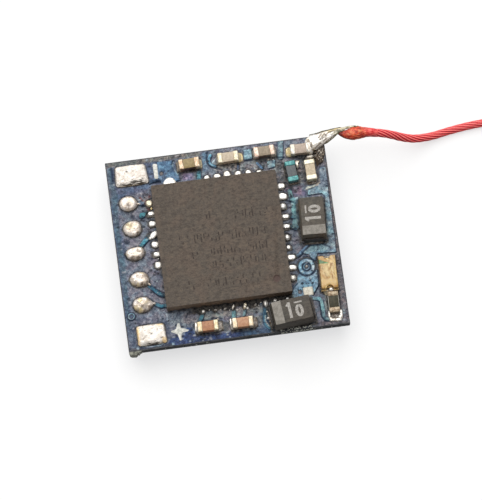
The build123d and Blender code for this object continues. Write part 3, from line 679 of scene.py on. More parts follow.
# capacitor_1 and capacitor_3 get darker upright faces: painted shade
ceramics = {
    "capacitor_1": make_ceramic("ceramic_olive", linear(160, 141, 95), linear(132, 111, 64), side=linear(84, 62, 42)),
    "capacitor_2": make_ceramic("ceramic_beige", linear(202, 186, 164), linear(178, 160, 136)),
    "capacitor_3": make_ceramic("ceramic_tan_grey", linear(162, 146, 124), linear(134, 118, 96), side=linear(110, 92, 78)),
    "capacitor_4": make_ceramic("ceramic_grey_pink", linear(190, 172, 156), linear(164, 146, 130)),
    "capacitor_5": make_ceramic("ceramic_sand", linear(206, 190, 164), linear(182, 164, 136)),
    "capacitor_6": make_ceramic("ceramic_rust", linear(184, 134, 96), linear(158, 102, 66)),
    "capacitor_7": make_ceramic("ceramic_salmon", linear(195, 153, 117), linear(173, 120, 86)),
    "inductor": make_ceramic("ceramic_blue_grey", linear(92, 96, 96), linear(66, 72, 77)),
}
ceramic_under = make_ceramic("ceramic_under", linear(176, 150, 120), linear(148, 120, 92))


def make_end(name, tone, dark, metal=0.75, rough=0.34, seam=None):
    f = Finish(name, tone, rough, metal=metal)
    grain = f.noise(7.0, 5.0, 0.68, 0.3)
    colour = f.mix(f.step(grain, 0.42, 0.58), dark, tone)
    if seam:
        colour = f.mix(f.math("MULTIPLY", f.attribute("seam"), f.step(grain, 0.40, 0.52, 0.5, 1.0), True), colour, seam)
        colour = f.mix(f.math("MULTIPLY", f.attribute("foot"), 0.92), colour, (0.030, 0.020, 0.014))
        f.set("Metallic", f.step(f.attribute("foot"), 0.0, 0.8, metal, 0.1))
    f.set("Base Color", colour)
    f.set("Roughness", f.step(grain, 0.3, 0.7, rough * 0.75, rough * 1.4))
    f.set("Normal", f.bump(grain, 0.020))
    return f.m


ends = {
    "capacitor_1": make_end("end_gold", (0.80, 0.66, 0.50), (0.52, 0.36, 0.22), 0.45, 0.40, (0.12, 0.06, 0.03)),
    "capacitor_2": make_end("end_cream", (0.84, 0.77, 0.63), (0.58, 0.50, 0.34), 0.45, 0.40, (0.42, 0.34, 0.15)),
    "capacitor_3": make_end("end_rose", (0.86, 0.74, 0.64), (0.58, 0.40, 0.30), 0.45, 0.40, (0.26, 0.15, 0.08)),
    "capacitor_4": make_end("end_white", (0.90, 0.86, 0.79), (0.62, 0.56, 0.48), 0.45, 0.40, (0.36, 0.30, 0.20)),
    "capacitor_5": make_end("end_light", (0.92, 0.87, 0.73), (0.72, 0.65, 0.48), 0.45, 0.40, (0.34, 0.26, 0.10)),
    "capacitor_6": make_end("end_wheat", (0.84, 0.75, 0.55), (0.58, 0.46, 0.27), 0.45, 0.40, (0.10, 0.055, 0.025)),
    "capacitor_7": make_end("end_butter", (0.88, 0.78, 0.62), (0.62, 0.48, 0.31), 0.45, 0.40, (0.10, 0.055, 0.025)),
    "inductor": make_end("end_teal", linear(112, 178, 176), linear(56, 124, 126), 0.2, 0.4, (0.02, 0.09, 0.10)),
}
end_bronze = make_end("end_bronze", (0.52, 0.43, 0.30), (0.22, 0.145, 0.085), 0.4, 0.42)
pale_tin = make_end("pale_tin", (0.63, 0.60, 0.52), (0.42, 0.39, 0.32), 0.4, 0.46)
tin = make_end("tin", (0.80, 0.77, 0.72), (0.52, 0.49, 0.44), 1.0, 0.32)
gold_plate = make_end("gold_plate", (0.86, 0.64, 0.34), (0.62, 0.40, 0.16), 1.0, 0.28)
crystal_metal = make_end("crystal_metal", (0.66, 0.65, 0.62), (0.48, 0.47, 0.44), 1.0, 0.26)
# a tin finish made near black, for the tantalums' terminals and the lamp's die
near_black_tin = make_end("near_black_tin", (0.060, 0.050, 0.044), (0.022, 0.018, 0.016), 0.3, 0.5)
via_copper = make_end("via_copper", (0.035, 0.050, 0.085), (0.012, 0.018, 0.032), 0.0, 0.4)
land_tin = make_end("land_tin", (0.20, 0.18, 0.155), (0.040, 0.034, 0.030), 0.5, 0.5)

f = Finish("under_copper", (0.035, 0.10, 0.17), 0.34)
f.set("Base Color", f.mix(f.step(f.noise(6.0, 3.0), 0.35, 0.65), (0.025, 0.075, 0.15), (0.055, 0.135, 0.205)))
f.set("Normal", f.bump(f.noise(7.0), 0.012))
under_copper = f.m

# amber resin, clear enough to show the carrier under it
f = Finish("amber_resin", (0.75, 0.50, 0.20), 0.18, specular=0.5, IOR=1.52, Transmission_Weight=0.22, Subsurface_Weight=0.15, Subsurface_Scale=0.0004)
f.set("Subsurface Radius", (1.0, 0.55, 0.2))
cloud = f.noise(1.9, 5.0, 0.68, 1.2)
strand = f.noise(1.0, 5.0, 0.68, 0.7, at=f.stretch((6.0, 2.2, 4.0)))
along_u = f.math("ADD", f.math("MULTIPLY", f.math("SUBTRACT", f.axis("X"), 4.59), cos(radians(88.4))), f.math("MULTIPLY", f.math("SUBTRACT", f.axis("Y"), -2.18), sin(radians(88.4))))
colour = f.mix(f.step(cloud, 0.44, 0.56), (0.72, 0.52, 0.23), (0.55, 0.31, 0.085))
colour = f.mix(f.step(strand, 0.51, 0.59, 0.0, 0.80), colour, (0.88, 0.69, 0.33))
colour = f.mix(f.step(strand, 0.46, 0.40, 0.0, 0.55), colour, (0.36, 0.20, 0.055))
centre_zone = f.math("MULTIPLY", f.step(along_u, -0.40, -0.20), f.step(along_u, 0.50, 0.25))
colour = f.mix(f.math("MULTIPLY", centre_zone, f.step(strand, 0.47, 0.40, 0.0, 0.85)), colour, (0.25, 0.125, 0.035))
pale_zone = f.math("MULTIPLY", f.step(along_u, -0.30, -0.42), f.step(along_u, -0.68, -0.56))
colour = f.mix(f.math("MULTIPLY", pale_zone, f.step(cloud, 0.35, 0.55, 0.35, 0.9)), colour, (0.72, 0.50, 0.205))
colour = f.mix(f.step(along_u, 0.70, 0.80, 0.0, 0.55), colour, (0.30, 0.19, 0.085))
across_u = f.math("SUBTRACT", f.math("MULTIPLY", f.math("SUBTRACT", f.axis("Y"), -2.18), cos(radians(88.4))), f.math("MULTIPLY", f.math("SUBTRACT", f.axis("X"), 4.59), sin(radians(88.4))))
share = f.step(across_u, -0.08, 0.42)
off = f.math("ABSOLUTE", f.math("SUBTRACT", along_u, f.math("ADD", 0.42, f.math("MULTIPLY", share, 0.10))))
green = f.math("MULTIPLY", f.step(f.math("SUBTRACT", off, f.math("MULTIPLY", share, 0.085)), 0.030, 0.005), f.step(across_u, -0.10, -0.02))
colour = f.mix(f.math("MULTIPLY", green, 0.9), colour, f.mix(f.step(cloud, 0.44, 0.56), (0.10, 0.42, 0.16), (0.03, 0.15, 0.05)))
side_line = f.math("MULTIPLY", f.step(f.math("ABSOLUTE", across_u), 0.375, 0.405), f.step(strand, 0.40, 0.56, 0.3, 0.9))
colour = f.mix(side_line, colour, (0.22, 0.10, 0.03))
f.set("Base Color", colour)
f.set("Normal", f.bump(sum_of(f, cloud, strand, 0.8, 0.4), 0.030))
amber_resin = f.m

f = Finish("carrier_cream", (0.80, 0.66, 0.40), 0.5)
f.set("Base Color", f.mix(f.step(f.noise(10.0, 4.0, 0.6), 0.35, 0.66), (0.30, 0.19, 0.08), (0.72, 0.58, 0.34)))
carrier_cream = f.m

f = Finish("green_mark", (0.06, 0.30, 0.10), 0.45)
f.set("Base Color", f.mix(f.step(f.noise(12.0, 3.0), 0.35, 0.65), (0.03, 0.20, 0.06), (0.12, 0.42, 0.16)))
green_mark = f.m

f = Finish("resistor_coat", (0.05, 0.048, 0.026), 0.50, specular=0.3)
f.set("Base Color", f.mix(f.step(f.noise(10.0, 4.0, 0.6), 0.34, 0.68), (0.028, 0.028, 0.013), (0.058, 0.050, 0.026)))
f.set("Normal", f.bump(f.noise(12.0, 3.0), 0.010))
resistor_coat = f.m

resistor_white = make_ceramic("resistor_white", (0.62, 0.60, 0.55), (0.42, 0.40, 0.36))

f = Finish("flux_brown", (0.18, 0.10, 0.05), 0.14, specular=0.6, Transmission_Weight=0.25, IOR=1.5)
web = f.noise(3.6, 4.0, 0.62, 1.2)
line_web = f.step(f.math("ABSOLUTE", f.math("SUBTRACT", web, 0.5)), 0.035, 0.010)
colour = f.mix(f.step(f.noise(6.0, 5.0, 0.7, 0.8), 0.36, 0.66), (0.014, 0.010, 0.008), (0.17, 0.120, 0.080))
f.set("Base Color", f.mix(f.math("MULTIPLY", line_web, f.step(f.noise(2.4, 3.0), 0.42, 0.56)), colour, (0.40, 0.33, 0.255)))
f.set("Normal", f.bump(sum_of(f, web, f.noise(9.0, 4.0, 0.7), 1.0, 0.6), 0.06))
flux_brown = f.m

f = Finish("burnt_flux", (0.06, 0.055, 0.035), 0.8, specular=0.08)
f.set("Base Color", f.mix(f.step(f.noise(7.0, 4.0, 0.65), 0.40, 0.60), (0.030, 0.026, 0.016), (0.155, 0.145, 0.085)))
burnt_flux = f.m

# red insulation, moulded over twisted strands
f = Finish("wire_red", (0.72, 0.055, 0.05), 0.40, specular=0.30, Subsurface_Weight=0.12, Subsurface_Scale=0.0004)
f.set("Subsurface Radius", (1.0, 0.25, 0.2))
ridge = f.attribute("ridge")
fine = f.noise(16.0, 3.0, 0.6)
# dark valleys between the strands are painted shade; the pale pink on the ridge tops is a painted highlight
colour = f.mix(f.step(ridge, 0.26, 0.60), (0.13, 0.002, 0.012), (0.97, 0.048, 0.058))
colour = f.mix(f.step(ridge, 0.72, 0.98, 0.0, 0.90), colour, (1.0, 0.27, 0.25))
colour = f.mix(f.step(fine, 0.55, 0.75, 0.0, 0.25), colour, (0.96, 0.13, 0.13))
f.set("Base Color", colour)
f.set("Roughness", f.step(fine, 0.3, 0.7, 0.30, 0.46))
f.set("Normal", f.bump(fine, 0.006))
wire_red = f.m

f = Finish("melted_red", (0.52, 0.06, 0.03), 0.30, specular=0.5)
lumpy = f.noise(5.0, 4.0, 0.65, 0.6)
fibres = f.noise(1.0, 4.0, 0.65, 0.5, at=f.stretch((4.0, 10.0, 10.0), turn=(0, 0, radians(24))))
colour = f.mix(f.step(lumpy, 0.40, 0.60), (0.36, 0.016, 0.007), (0.78, 0.085, 0.028))
colour = f.mix(f.step(fibres, 0.52, 0.60, 0.0, 0.85), colour, (0.78, 0.25, 0.11))
colour = f.mix(f.step(fibres, 0.46, 0.39, 0.0, 0.60), colour, (0.24, 0.008, 0.006))
colour = f.mix(f.step(f.axis("X"), 6.42, 6.10, 0.0, 0.80), colour, (0.085, 0.014, 0.014))
colour = f.mix(f.step(f.axis("X"), 7.10, 7.65, 0.0, 0.9), colour, f.mix(f.step(fibres, 0.40, 0.55), (0.74, 0.022, 0.030), (1.0, 0.135, 0.130)))
f.set("Base Color", colour)
f.set("Normal", f.bump(sum_of(f, lumpy, fibres, 0.8, 0.8), 0.05))
melted_red = f.m

f = Finish("strand_tin", (0.70, 0.66, 0.54), 0.34, metal=1.0)
f.set("Base Color", f.mix(f.step(f.noise(5.0, 4.0, 0.65), 0.36, 0.60), (0.15, 0.135, 0.075), (0.66, 0.62, 0.47)))
f.set("Normal", f.bump(f.noise(18.0, 3.0), 0.01))
strand_tin = f.m

f = Finish("floor_white", (0.35, 0.35, 0.35), 0.8, specular=0.0)
f.set("Base Color", f.mix(f.step(f.noise(0.02, 2.0), 0.3, 0.7), (0.346, 0.346, 0.346), (0.354, 0.354, 0.354)))
f.set("Emission Color", (1.0, 1.0, 1.0))
f.set("Emission Strength", 0.645)
floor_white = f.m


# ================================================================ antenna wire: the cord
route = [(6.05, 4.56, 1.90), (7.30, 4.47, 1.90), (8.40, 4.40, 1.50), (9.45, 4.10, 0.72), (10.50, 4.20, 0.27),
         (11.55, 4.42, 0.185), (12.60, 4.55, 0.185), (13.60, 4.60, 0.185), (14.74, 4.657, 0.185)]
way = Vector((1.0, 0.05, 0.0)).normalized()
touch = Vector((13.60, 4.60, 0.185)) + way * 2.0
coil_outer, coil_pitch, coil_turns = 2.44, 0.38, 1.5
middle = touch + Vector((way.y, -way.x, 0)) * coil_outer
begin = atan2(way.x, -way.y)
for k in range(25):
    turn = k / 16
    r = (coil_outer - coil_pitch * turn) * (1.0 if k == 0 else 1.008)
    a = begin - 2 * pi * turn
    route.append((middle.x + r * cos(a), middle.y + r * sin(a), 0.185))

curve = bpy.data.curves.new("antenna_route", "CURVE")
curve.dimensions = "3D"
curve.resolution_u = 20
spline = curve.splines.new("NURBS")
spline.points.add(len(route) - 1)
for point, co in zip(spline.points, route):
    point.co = (co[0] * MM, co[1] * MM, co[2] * MM, 1.0)
spline.order_u = 3
spline.use_endpoint_u = True
line = bpy.data.objects.new("antenna_route", curve)
bpy.context.scene.collection.objects.link(line)
bpy.context.view_layer.update()
followed = bpy.data.meshes.new_from_object(line)
centre_line = np.array([v.co for v in followed.vertices]) / MM
bpy.data.objects.remove(line)
bpy.data.meshes.remove(followed)
keep = [0]
for k in range(1, len(centre_line)):
    if np.linalg.norm(centre_line[k] - centre_line[keep[-1]]) > 0.035:
        keep.append(k)
centre_line = centre_line[keep]

wire_radius, lay_pitch, strand_count = 0.185, 3.9, 9
along_wire = np.concatenate([[0], np.cumsum(np.linalg.norm(np.diff(centre_line, axis=0), axis=1))])
width_there = wire_radius * 1.03 * np.interp(along_wire, [0.0, 0.12, 0.55, 0.8, 1.2, 3.8, 5.6], [0.12, 0.35, 0.85, 1.0, 1.06, 1.06, 1.0])
verts, faces, s = tube(centre_line, width_there, segments=72, ridges=(strand_count, 0.20, -lay_pitch, 0.6))
ring_angle = np.tile(np.arange(72) * 2 * pi / 72, len(centre_line))
ring_s = np.repeat(s, 72)
ridge = np.abs(np.sin((ring_angle * strand_count + 2 * pi * ring_s * strand_count / lay_pitch + 0.6) / 2))
verts[:, 1] -= 0.045 * smooth(6.6, 7.4, verts[:, 0]) * smooth(9.4, 8.5, verts[:, 0])
shape = Shape().add(verts, faces)
antenna_cord = piece("antenna_cord", shape, wire_red, ("antenna_wire", "antenna_coil"), angle=60,
                     floats={"ridge": np.concatenate([ridge, [0.3, 0.3]])})

# copper core seen at the wire's cut end
shape = Shape()
tail = centre_line[-1] - centre_line[-2]
tail /= np.linalg.norm(tail)
across = np.cross(tail, [0, 0, 1.0])
for k in range(7):
    a = k * pi / 3
    r = 0.0 if k == 6 else 0.062
    offset = across * r * cos(a) + np.array([0, 0, 1.0]) * r * sin(a)
    start, end = centre_line[-1] + offset - tail * 0.10, centre_line[-1] + offset + tail * (0.05 + 0.02 * sin(k * 2.1))
    v, fc, _ = tube([start, (start + end) / 2, end - tail * 0.006, end], [0.029, 0.029, 0.029, 0.022], segments=12)
    shape.add(v, fc)
antenna_core = piece("antenna_core_end", shape, strand_tin, angle=50)

# the insulation's end, melted back and swollen by the iron
melt = catmull([(5.97, 4.575, 1.885), (6.16, 4.510, 1.870), (6.36, 4.468, 1.862), (6.60, 4.452, 1.860), (6.84, 4.462, 1.862), (7.08, 4.460, 1.876), (7.32, 4.448, 1.890), (7.52, 4.436, 1.872), (7.70, 4.408, 1.838), (7.90, 4.372, 1.785)], 14)
x = melt[:, 0]
swell = np.interp(x, [5.97, 6.05, 6.18, 6.34, 6.52, 6.72, 6.95, 7.10, 7.25, 7.40, 7.52, 7.66, 7.80, 7.90],
                  [0.015, 0.055, 0.120, 0.195, 0.270, 0.318, 0.318, 0.300, 0.268, 0.232, 0.208, 0.190, 0.172, 0.150])
verts, faces, _ = tube(melt, swell, segments=64, lumps=(0.13, 4.0, 5))
antenna_melt = piece("antenna_insulation_end", Shape().add(verts, faces), melted_red, angle=70)

# tinned strands that leave the solder and lie against the swollen end
shape = Shape()
for k, (dy, dz, reach, r) in enumerate([(0.000, 0.030, 7.05, 0.034), (0.045, 0.000, 6.95, 0.032), (-0.045, 0.035, 6.62, 0.034), (0.080, -0.045, 6.85, 0.030),
                                        (-0.085, 0.020, 6.45, 0.034), (0.025, -0.060, 6.70, 0.032), (-0.020, 0.070, 6.80, 0.030), (-0.115, -0.020, 6.22, 0.032)]):
    pts = [(5.20, 4.44 + dy * 2.2, 1.84 + dz), (5.55, 4.54 + dy * 2.0, 1.88 + dz), (5.84, 4.630 + dy * 1.35, 1.92 + dz * 0.9),
           (6.04, 4.690 + dy * 0.95, 1.955 + dz * 0.8), (6.38, 4.735 + dy * 0.65, 2.005 + dz * 0.6)]
    if reach > 6.5:
        pts.append((0.5 * (6.38 + reach), 4.755 + dy * 0.45, 2.045 + dz * 0.3))
        pts.append((reach, 4.748 + dy * 0.3, 2.050 + dz * 0.2))
    pts = [(p[0], p[1] + 0.010 * sin(3.1 * i + k), p[2] + 0.008 * cos(2.3 * i + 2 * k)) for i, p in enumerate(pts)]
    strand = catmull(pts, 9)
    taper = np.full(len(strand), r)
    taper[-3:] *= (0.9, 0.7, 0.4)
    v, fc, _ = tube(strand, taper, segments=14)
    shape.add(v, fc)
antenna_strands = piece("antenna_tinned_strands", shape, strand_tin, ("antenna_strands",), angle=70)

# solder lump: climbs from its land on the corner and runs out along the strands
run = catmull([(4.46, 4.18, 1.72), (4.62, 4.24, 1.78), (4.80, 4.29, 1.82), (5.13, 4.395, 1.855), (5.38, 4.465, 1.875), (5.63, 4.55, 1.89), (5.84, 4.632, 1.91), (6.04, 4.695, 1.95), (6.26, 4.735, 1.985)], 10)
t = run[:, 0]
tall = np.interp(t, [4.46, 4.60, 4.80, 5.13, 5.38, 5.63, 5.84, 6.04, 6.26], [0.06, 0.12, 0.13, 0.125, 0.120, 0.110, 0.095, 0.075, 0.04])
wide = np.interp(t, [4.46, 4.60, 4.80, 5.13, 5.38, 5.63, 5.84, 6.04, 6.26], [0.24, 0.36, 0.39, 0.32, 0.29, 0.235, 0.175, 0.120, 0.06]) / tall
verts, faces, s = tube(run, tall, segments=72, flatten=wide, lumps=(0.05, 3.4, 11))
n_ring = len(run) * 72
ang = np.tile(np.arange(72) * 2 * pi / 72, len(run))
grow = np.repeat(np.interp(t, [4.46, 4.9, 5.4, 6.26], [0.25, 0.55, 1.0, 1.0]), 72)
centre = np.repeat(run, 72, axis=0)
centre_of_run = centre
folds = value_noise(np.stack([np.cos(ang) * 1.4, np.sin(ang) * 1.4, np.repeat(s, 72) * 0.45], 1), 2.3, 77)
groove = np.clip((np.abs(folds) ** 0.55 - 0.62) * 0.20, -0.12, 0.03) * grow
verts[:n_ring] = centre + (verts[:n_ring] - centre) * (1 + groove)[:, None]
verts[:, 2] = np.maximum(verts[:, 2], np.where(verts[:, 0] < 5.28, LAND - 0.01, 1.50))
shape = Shape().add(verts, faces)
foot_pts = [(4.40, 4.44), (4.62, 4.57), (4.92, 4.60), (5.16, 4.57), (5.20, 4.36), (5.06, 4.18), (4.93, 4.00), (4.84, 3.92), (4.62, 3.90), (4.44, 3.84), (4.36, 4.16)]
v, fc = blob((4.78, 4.26), rim_of(foot_pts, (4.78, 4.26), 56, 2), LAND, 0.20, flat=2.6, steep=0.6, peak=(0.06, 0.03), rings=16, lump=0.06, grain=4.5, seed=3)
shape.add(v, fc)
v, fc = blob((4.60, 4.02), rim_of([(4.40, 4.34), (4.62, 4.40), (4.78, 4.22), (4.80, 3.96), (4.66, 3.72), (4.50, 3.74), (4.42, 3.92)], (4.60, 4.02), 36, 2), LAND, 0.40, flat=2.6, steep=0.5, rings=12, lump=0.07, grain=7, seed=8)
shape.add(v, fc)
for centre, corners, seed in (((4.45, 4.03), [(4.38, 4.24), (4.47, 4.27), (4.52, 4.14), (4.50, 3.90), (4.47, 3.79), (4.39, 3.78), (4.37, 3.98)], 31),
                              ((4.60, 4.02), [(4.54, 4.24), (4.64, 4.25), (4.70, 4.06), (4.66, 3.84), (4.60, 3.72), (4.53, 3.76), (4.52, 3.98)], 32)):
    v, fc = blob(centre, rim_of(corners, centre, 36, 1), 2.06, 0.11, flat=2.6, steep=0.5, rings=12, lump=0.04, grain=7.0, seed=seed, foot=0.34)
    shape.add(v, fc)
co = np.array(shape.verts)
folded = np.zeros(len(co))
folded[:n_ring] = smooth(-0.03, -0.13, groove)
# the creases of the folds and the low parts near the board are darkened as painted shade
stain_and_shade = np.maximum(folded * 0.35, smooth(1.70, 1.62, co[:, 2]) * 0.8 * smooth(-0.15, 0.35, value_noise(co, 3.0, 21)))
fold_lines = [((5.07, 4.46), (5.23, 4.66)), ((5.13, 4.36), (5.36, 4.63)), ((5.23, 4.38), (5.41, 4.54)), ((5.26, 4.23), (5.42, 4.39)), ((5.41, 4.50), (5.61, 4.69)),
              ((4.56, 4.44), (4.57, 4.22)), ((4.66, 4.24), (4.64, 4.00)), ((4.73, 3.91), (4.91, 4.05), (5.12, 4.18)), ((5.36, 4.17), (5.55, 4.30), (5.70, 4.39), (6.00, 4.55)),
              ((5.60, 4.67), (5.75, 4.72), (5.89, 4.72), (6.03, 4.74))]
for k, pts in enumerate(fold_lines):
    w = 0.070 if k < 5 else 0.075
    near = line_distance(co[:, 0], co[:, 1], pts) + 0.02 * value_noise(co, 9.0, 67)
    stain_and_shade = np.maximum(stain_and_shade, 0.95 * smooth(w, w * 0.35, near))
ahead = np.gradient(run, axis=0)
ahead /= np.hypot(ahead[:, 0], ahead[:, 1])[:, None]
ahead = np.repeat(ahead, 72, axis=0)
flank = ((co[:n_ring, 0] - centre_of_run[:, 0]) * -ahead[:, 1] + (co[:n_ring, 1] - centre_of_run[:, 1]) * ahead[:, 0]) / np.repeat(tall * wide, 72)
ragged = value_noise(co[:n_ring], 7.0, 68)
# both flanks of the lump are darkened as painted shade
stain_and_shade[:n_ring] = np.maximum(stain_and_shade[:n_ring], 0.92 * smooth(0.80, 0.89, np.abs(flank) + 0.05 * ragged) * smooth(4.75, 5.0, co[:n_ring, 0]))
gold = 0.30 * smooth(0.1, 0.6, value_noise(co, 4.0, 5))
gold[:n_ring] = np.maximum(gold[:n_ring], 0.9 * smooth(0.25, 0.7, flank + 0.25 * ragged) * smooth(5.35, 5.75, co[:n_ring, 0]))
stain_and_shade[:n_ring] = np.maximum(stain_and_shade[:n_ring], 0.75 * smooth(0.0, 0.25, value_noise(co[:n_ring], 9.0, 69)) * smooth(-0.1, 0.4, flank) * smooth(5.45, 5.75, co[:n_ring, 0]))
antenna_lump = piece("antenna_solder_lump", shape, solder_lump, ("antenna_solder",), angle=75,
                     floats={"stain_and_shade": stain_and_shade, "gold": gold})

# old flux burnt along both flanks of the lump
shape = Shape()
ahead = np.gradient(run, axis=0)
ahead /= np.hypot(ahead[:, 0], ahead[:, 1])[:, None]
beside = np.stack([-ahead[:, 1], ahead[:, 0], np.zeros(len(run))], 1)
for side, first, last, out in ((1, 4.70, 6.22, 1.03), (-1, 5.20, 6.20, 1.00)):
    pick = (run[:, 0] > first) & (run[:, 0] < last)
    path = run[pick] + beside[pick] * side * (tall * wide)[pick, None] * out
    path[:, 2] += 0.30 * tall[pick]
    path += 0.010 * value_noise(path * 1.0, 6.0, 70 + side)[:, None] * beside[pick]
    thin = 0.023 + 0.008 * value_noise(path, 7.0, 75 + side)
    thin[:3] *= (0.3, 0.6, 0.85)
    thin[-3:] *= (0.85, 0.6, 0.3)
    v, fc, _ = tube(path, thin, segments=12)
    shape.add(v, fc)
for pts, r in (([(5.62, 4.60, 2.005), (5.74, 4.66, 2.01), (5.88, 4.685, 2.015)], 0.012), ([(5.78, 4.60, 2.00), (5.90, 4.66, 2.01), (6.05, 4.72, 2.02)], 0.011),
               ([(5.66, 4.52, 1.99), (5.80, 4.58, 1.995), (5.97, 4.66, 2.005)], 0.010), ([(5.52, 4.62, 1.98), (5.60, 4.66, 1.985), (5.70, 4.69, 1.985)], 0.012)):
    path = catmull(pts, 6)
    v, fc, _ = tube(path, r * (1 + 0.4 * value_noise(path, 9.0, 79)), segments=10)
    shape.add(v, fc)
piece("antenna_flux_lines", shape, burnt_flux, angle=70)

# flux left round the corner, with small balls of solder in it
shape = Shape()
flux_pts = [(4.62, 3.80), (4.80, 4.02), (5.00, 4.13), (5.27, 4.12), (5.29, 3.80), (5.21, 3.56), (5.10, 3.30), (4.93, 3.26), (4.80, 3.14), (4.76, 3.45), (4.60, 3.60)]
v, fc = blob((4.98, 3.74), rim_of(flux_pts, (4.98, 3.74), 64, 0), LAND - 0.005, 0.15, flat=2.6, steep=0.6, rings=22, lump=0.20, grain=5.0, seed=13)
shape.add(v, fc)
v, fc = blob((4.42, 3.60), oval(0.20, 0.11, 10, 26, 0.2, 4), LAND - 0.005, 0.08, lump=0.04, seed=14)
shape.add(v, fc)
flux = piece("flux_residue", shape, flux_brown, angle=75)
shape = Shape()
for k, (bx, by, bz, r) in enumerate([(4.98, 3.87, 1.71, 0.060), (5.09, 3.77, 1.72, 0.045), (4.97, 3.58, 1.72, 0.050), (5.09, 3.42, 1.66, 0.045), (4.84, 3.70, 1.70, 0.055),
                                     (5.17, 3.66, 1.66, 0.036), (5.02, 3.70, 1.74, 0.034), (5.19, 3.95, 1.66, 0.040), (4.54, 3.66, 1.66, 0.050), (4.40, 3.63, 1.64, 0.045)]):
    v, fc = blob((bx, by), oval(r * 1.15, r * 0.55, 57 * k + 20, 18, 0.35, k), bz - r * 0.4, r * 0.9, flat=2.0, steep=0.5, rings=7, lump=0.02, grain=9.0, seed=k)
    shape.add(v, fc)
co = np.array(shape.verts)
piece("solder_balls", shape, solder_bright, floats={"stain_and_shade": 0.5 * smooth(-0.1, 0.3, value_noise(co, 9.0, 4)), "gold": 0.5 * smooth(-0.2, 0.3, value_noise(co, 5, 2))})

# ================================================================ board top: mask over copper
traces = [
    (0.13, ((-3.956, 2.48), (-3.722, 2.423), (-3.481, 2.415))),
    (0.10, ((-3.80, 1.93), (-3.62, 1.98), (-3.449, 1.93))),
    (0.20, ((-3.644, 0.772), (-3.805, 0.645), (-4.083, 0.36))),
    (0.17, ((-3.948, -1.585), (-3.652, -1.896), (-3.438, -2.102), (-3.162, -2.198))),
    (0.15, ((-3.87, -2.472), (-3.689, -2.555), (-3.511, -2.667), (-3.174, -2.659))),
    (0.17, ((-1.559, -3.162), (-1.638, -3.397), (-1.765, -3.625))),
    (0.20, ((-0.10, -3.42), (-0.16, -3.70))),
    (0.14, ((0.46, -3.30), (0.34, -3.62))),
    (0.15, ((1.442, -3.175), (1.35, -3.605), (1.296, -3.892), (1.328, -4.19), (1.49, -4.408))),
    (0.20, ((-0.867, 3.886), (-0.882, 3.587), (-0.904, 3.24))),
    (0.13, ((-0.21, 4.38), (-0.30, 4.20), (-0.315, 4.04), (-0.23, 3.90), (-0.05, 3.80))),
    (0.26, ((3.217, 4.60), (3.108, 3.849))),
    (0.20, ((3.33, 2.118), (3.395, 1.71), (3.456, 1.453), (3.378, 1.065), (3.408, 0.762), (3.34, 0.274))),
    (0.14, ((3.042, 0.911), (3.367, 0.817))),
    (0.14, ((3.022, 0.417), (3.445, 0.334))),
    (0.14, ((3.046, -1.148), (3.347, -1.065), (3.621, -0.83), (3.896, -0.595), (4.373, -0.635))),
    (0.17, ((3.63, -3.21), (4.02, -3.31), (4.10, -3.45), (4.11, -3.88), (4.10, -4.17), (4.19, -4.32), (4.40, -4.38))),
    (0.14, ((3.077, -1.622), (3.31, -1.678))),
    (0.10, ((1.059, 3.775), (1.019, 3.48))),
    (0.12, ((1.971, 3.702), (2.176, 3.424))),
]
fills = [
    ((-2.792, 4.371), (-2.064, 4.373), (-2.117, 4.155), (-2.057, 3.871), (-1.848, 3.618), (-1.809, 3.362), (-2.64, 3.3), (-2.836, 3.476), (-3.31, 3.365), (-3.305, 3.59), (-2.867, 3.605)),
    ((1.414, 4.43), (1.803, 4.427), (1.763, 3.956), (1.395, 3.93)),
    ((4.21, 2.02), (4.55, 2.13), (4.80, 2.30), (4.86, 2.55), (4.87, 2.95), (4.95, 3.10), (5.21, 3.06), (5.20, 2.658), (5.175, 1.613), (5.165, 0.668), (5.145, -0.471), (5.12, -1.139), (4.214, -1.083), (4.095, -1.414),
     (3.963, -1.495), (3.828, -1.081), (3.55, -0.994), (3.906, -0.695), (4.414, -0.69), (4.729, -0.509), (4.984, 1.645), (4.862, 1.811), (4.183, 1.803)),
    ((3.098, -2.168), (3.277, -1.921), (3.902, -1.931), (4.098, -1.908), (4.053, -2.642), (3.861, -2.912), (3.709, -3.137), (3.618, -3.273), (2.666, -3.193), (2.72, -2.807), (2.872, -2.581), (3.094, -2.365)),
    ((3.354, 1.765), (3.693, 1.769), (3.687, 1.371), (3.598, 0.388), (3.469, 0.157), (3.191, 0.245), (3.334, 0.921), (3.33, 1.42)),
    ((2.458, 3.712), (2.85, 3.734), (2.806, 3.414), (2.458, 3.361)),
    ((-3.931, 1.982), (-3.725, 2.016), (-3.664, 1.863), (-3.844, 1.721), (-3.997, 1.783)),
]
# painted highlights: pale lines along copper edges where the mask's ridge catches the light
edge_highlight_lines = [
    (0.055, ((-1.993, 4.363), (-2.082, 4.125), (-2.01, 3.865), (-1.845, 3.642))),
    (0.05, ((-0.272, 3.98), (-0.146, 3.838), (-0.013, 3.745))),
    (0.05, ((3.669, -1.356), (3.824, -1.451), (3.909, -1.636), (3.892, -1.831))),
    (0.05, ((3.577, -0.973), (3.828, -0.734), (4.035, -0.638))),
    (0.04, ((-4.792, -4.415), (-4.612, -4.503), (-4.186, -4.541), (-3.752, -4.522), (-3.473, -4.398))),
    (0.05, ((-3.403, -2.938), (-3.286, -3.076), (-3.305, -3.368))),
    (0.04, ((3.401, 0.018), (3.55, -0.3), (3.571, -0.6))),
    (0.04, ((1.333, -3.799), (1.31, -4.041), (1.435, -4.278), (1.591, -4.373))),
    (0.05, ((-0.174, 3.992), (0.05, 4.213))),
    (0.05, ((4.471, -0.623), (4.688, -0.801), (5.108, -0.907))),
    (0.05, ((4.805, 0.374), (4.934, 0.257), (5.138, 0.329))),
]
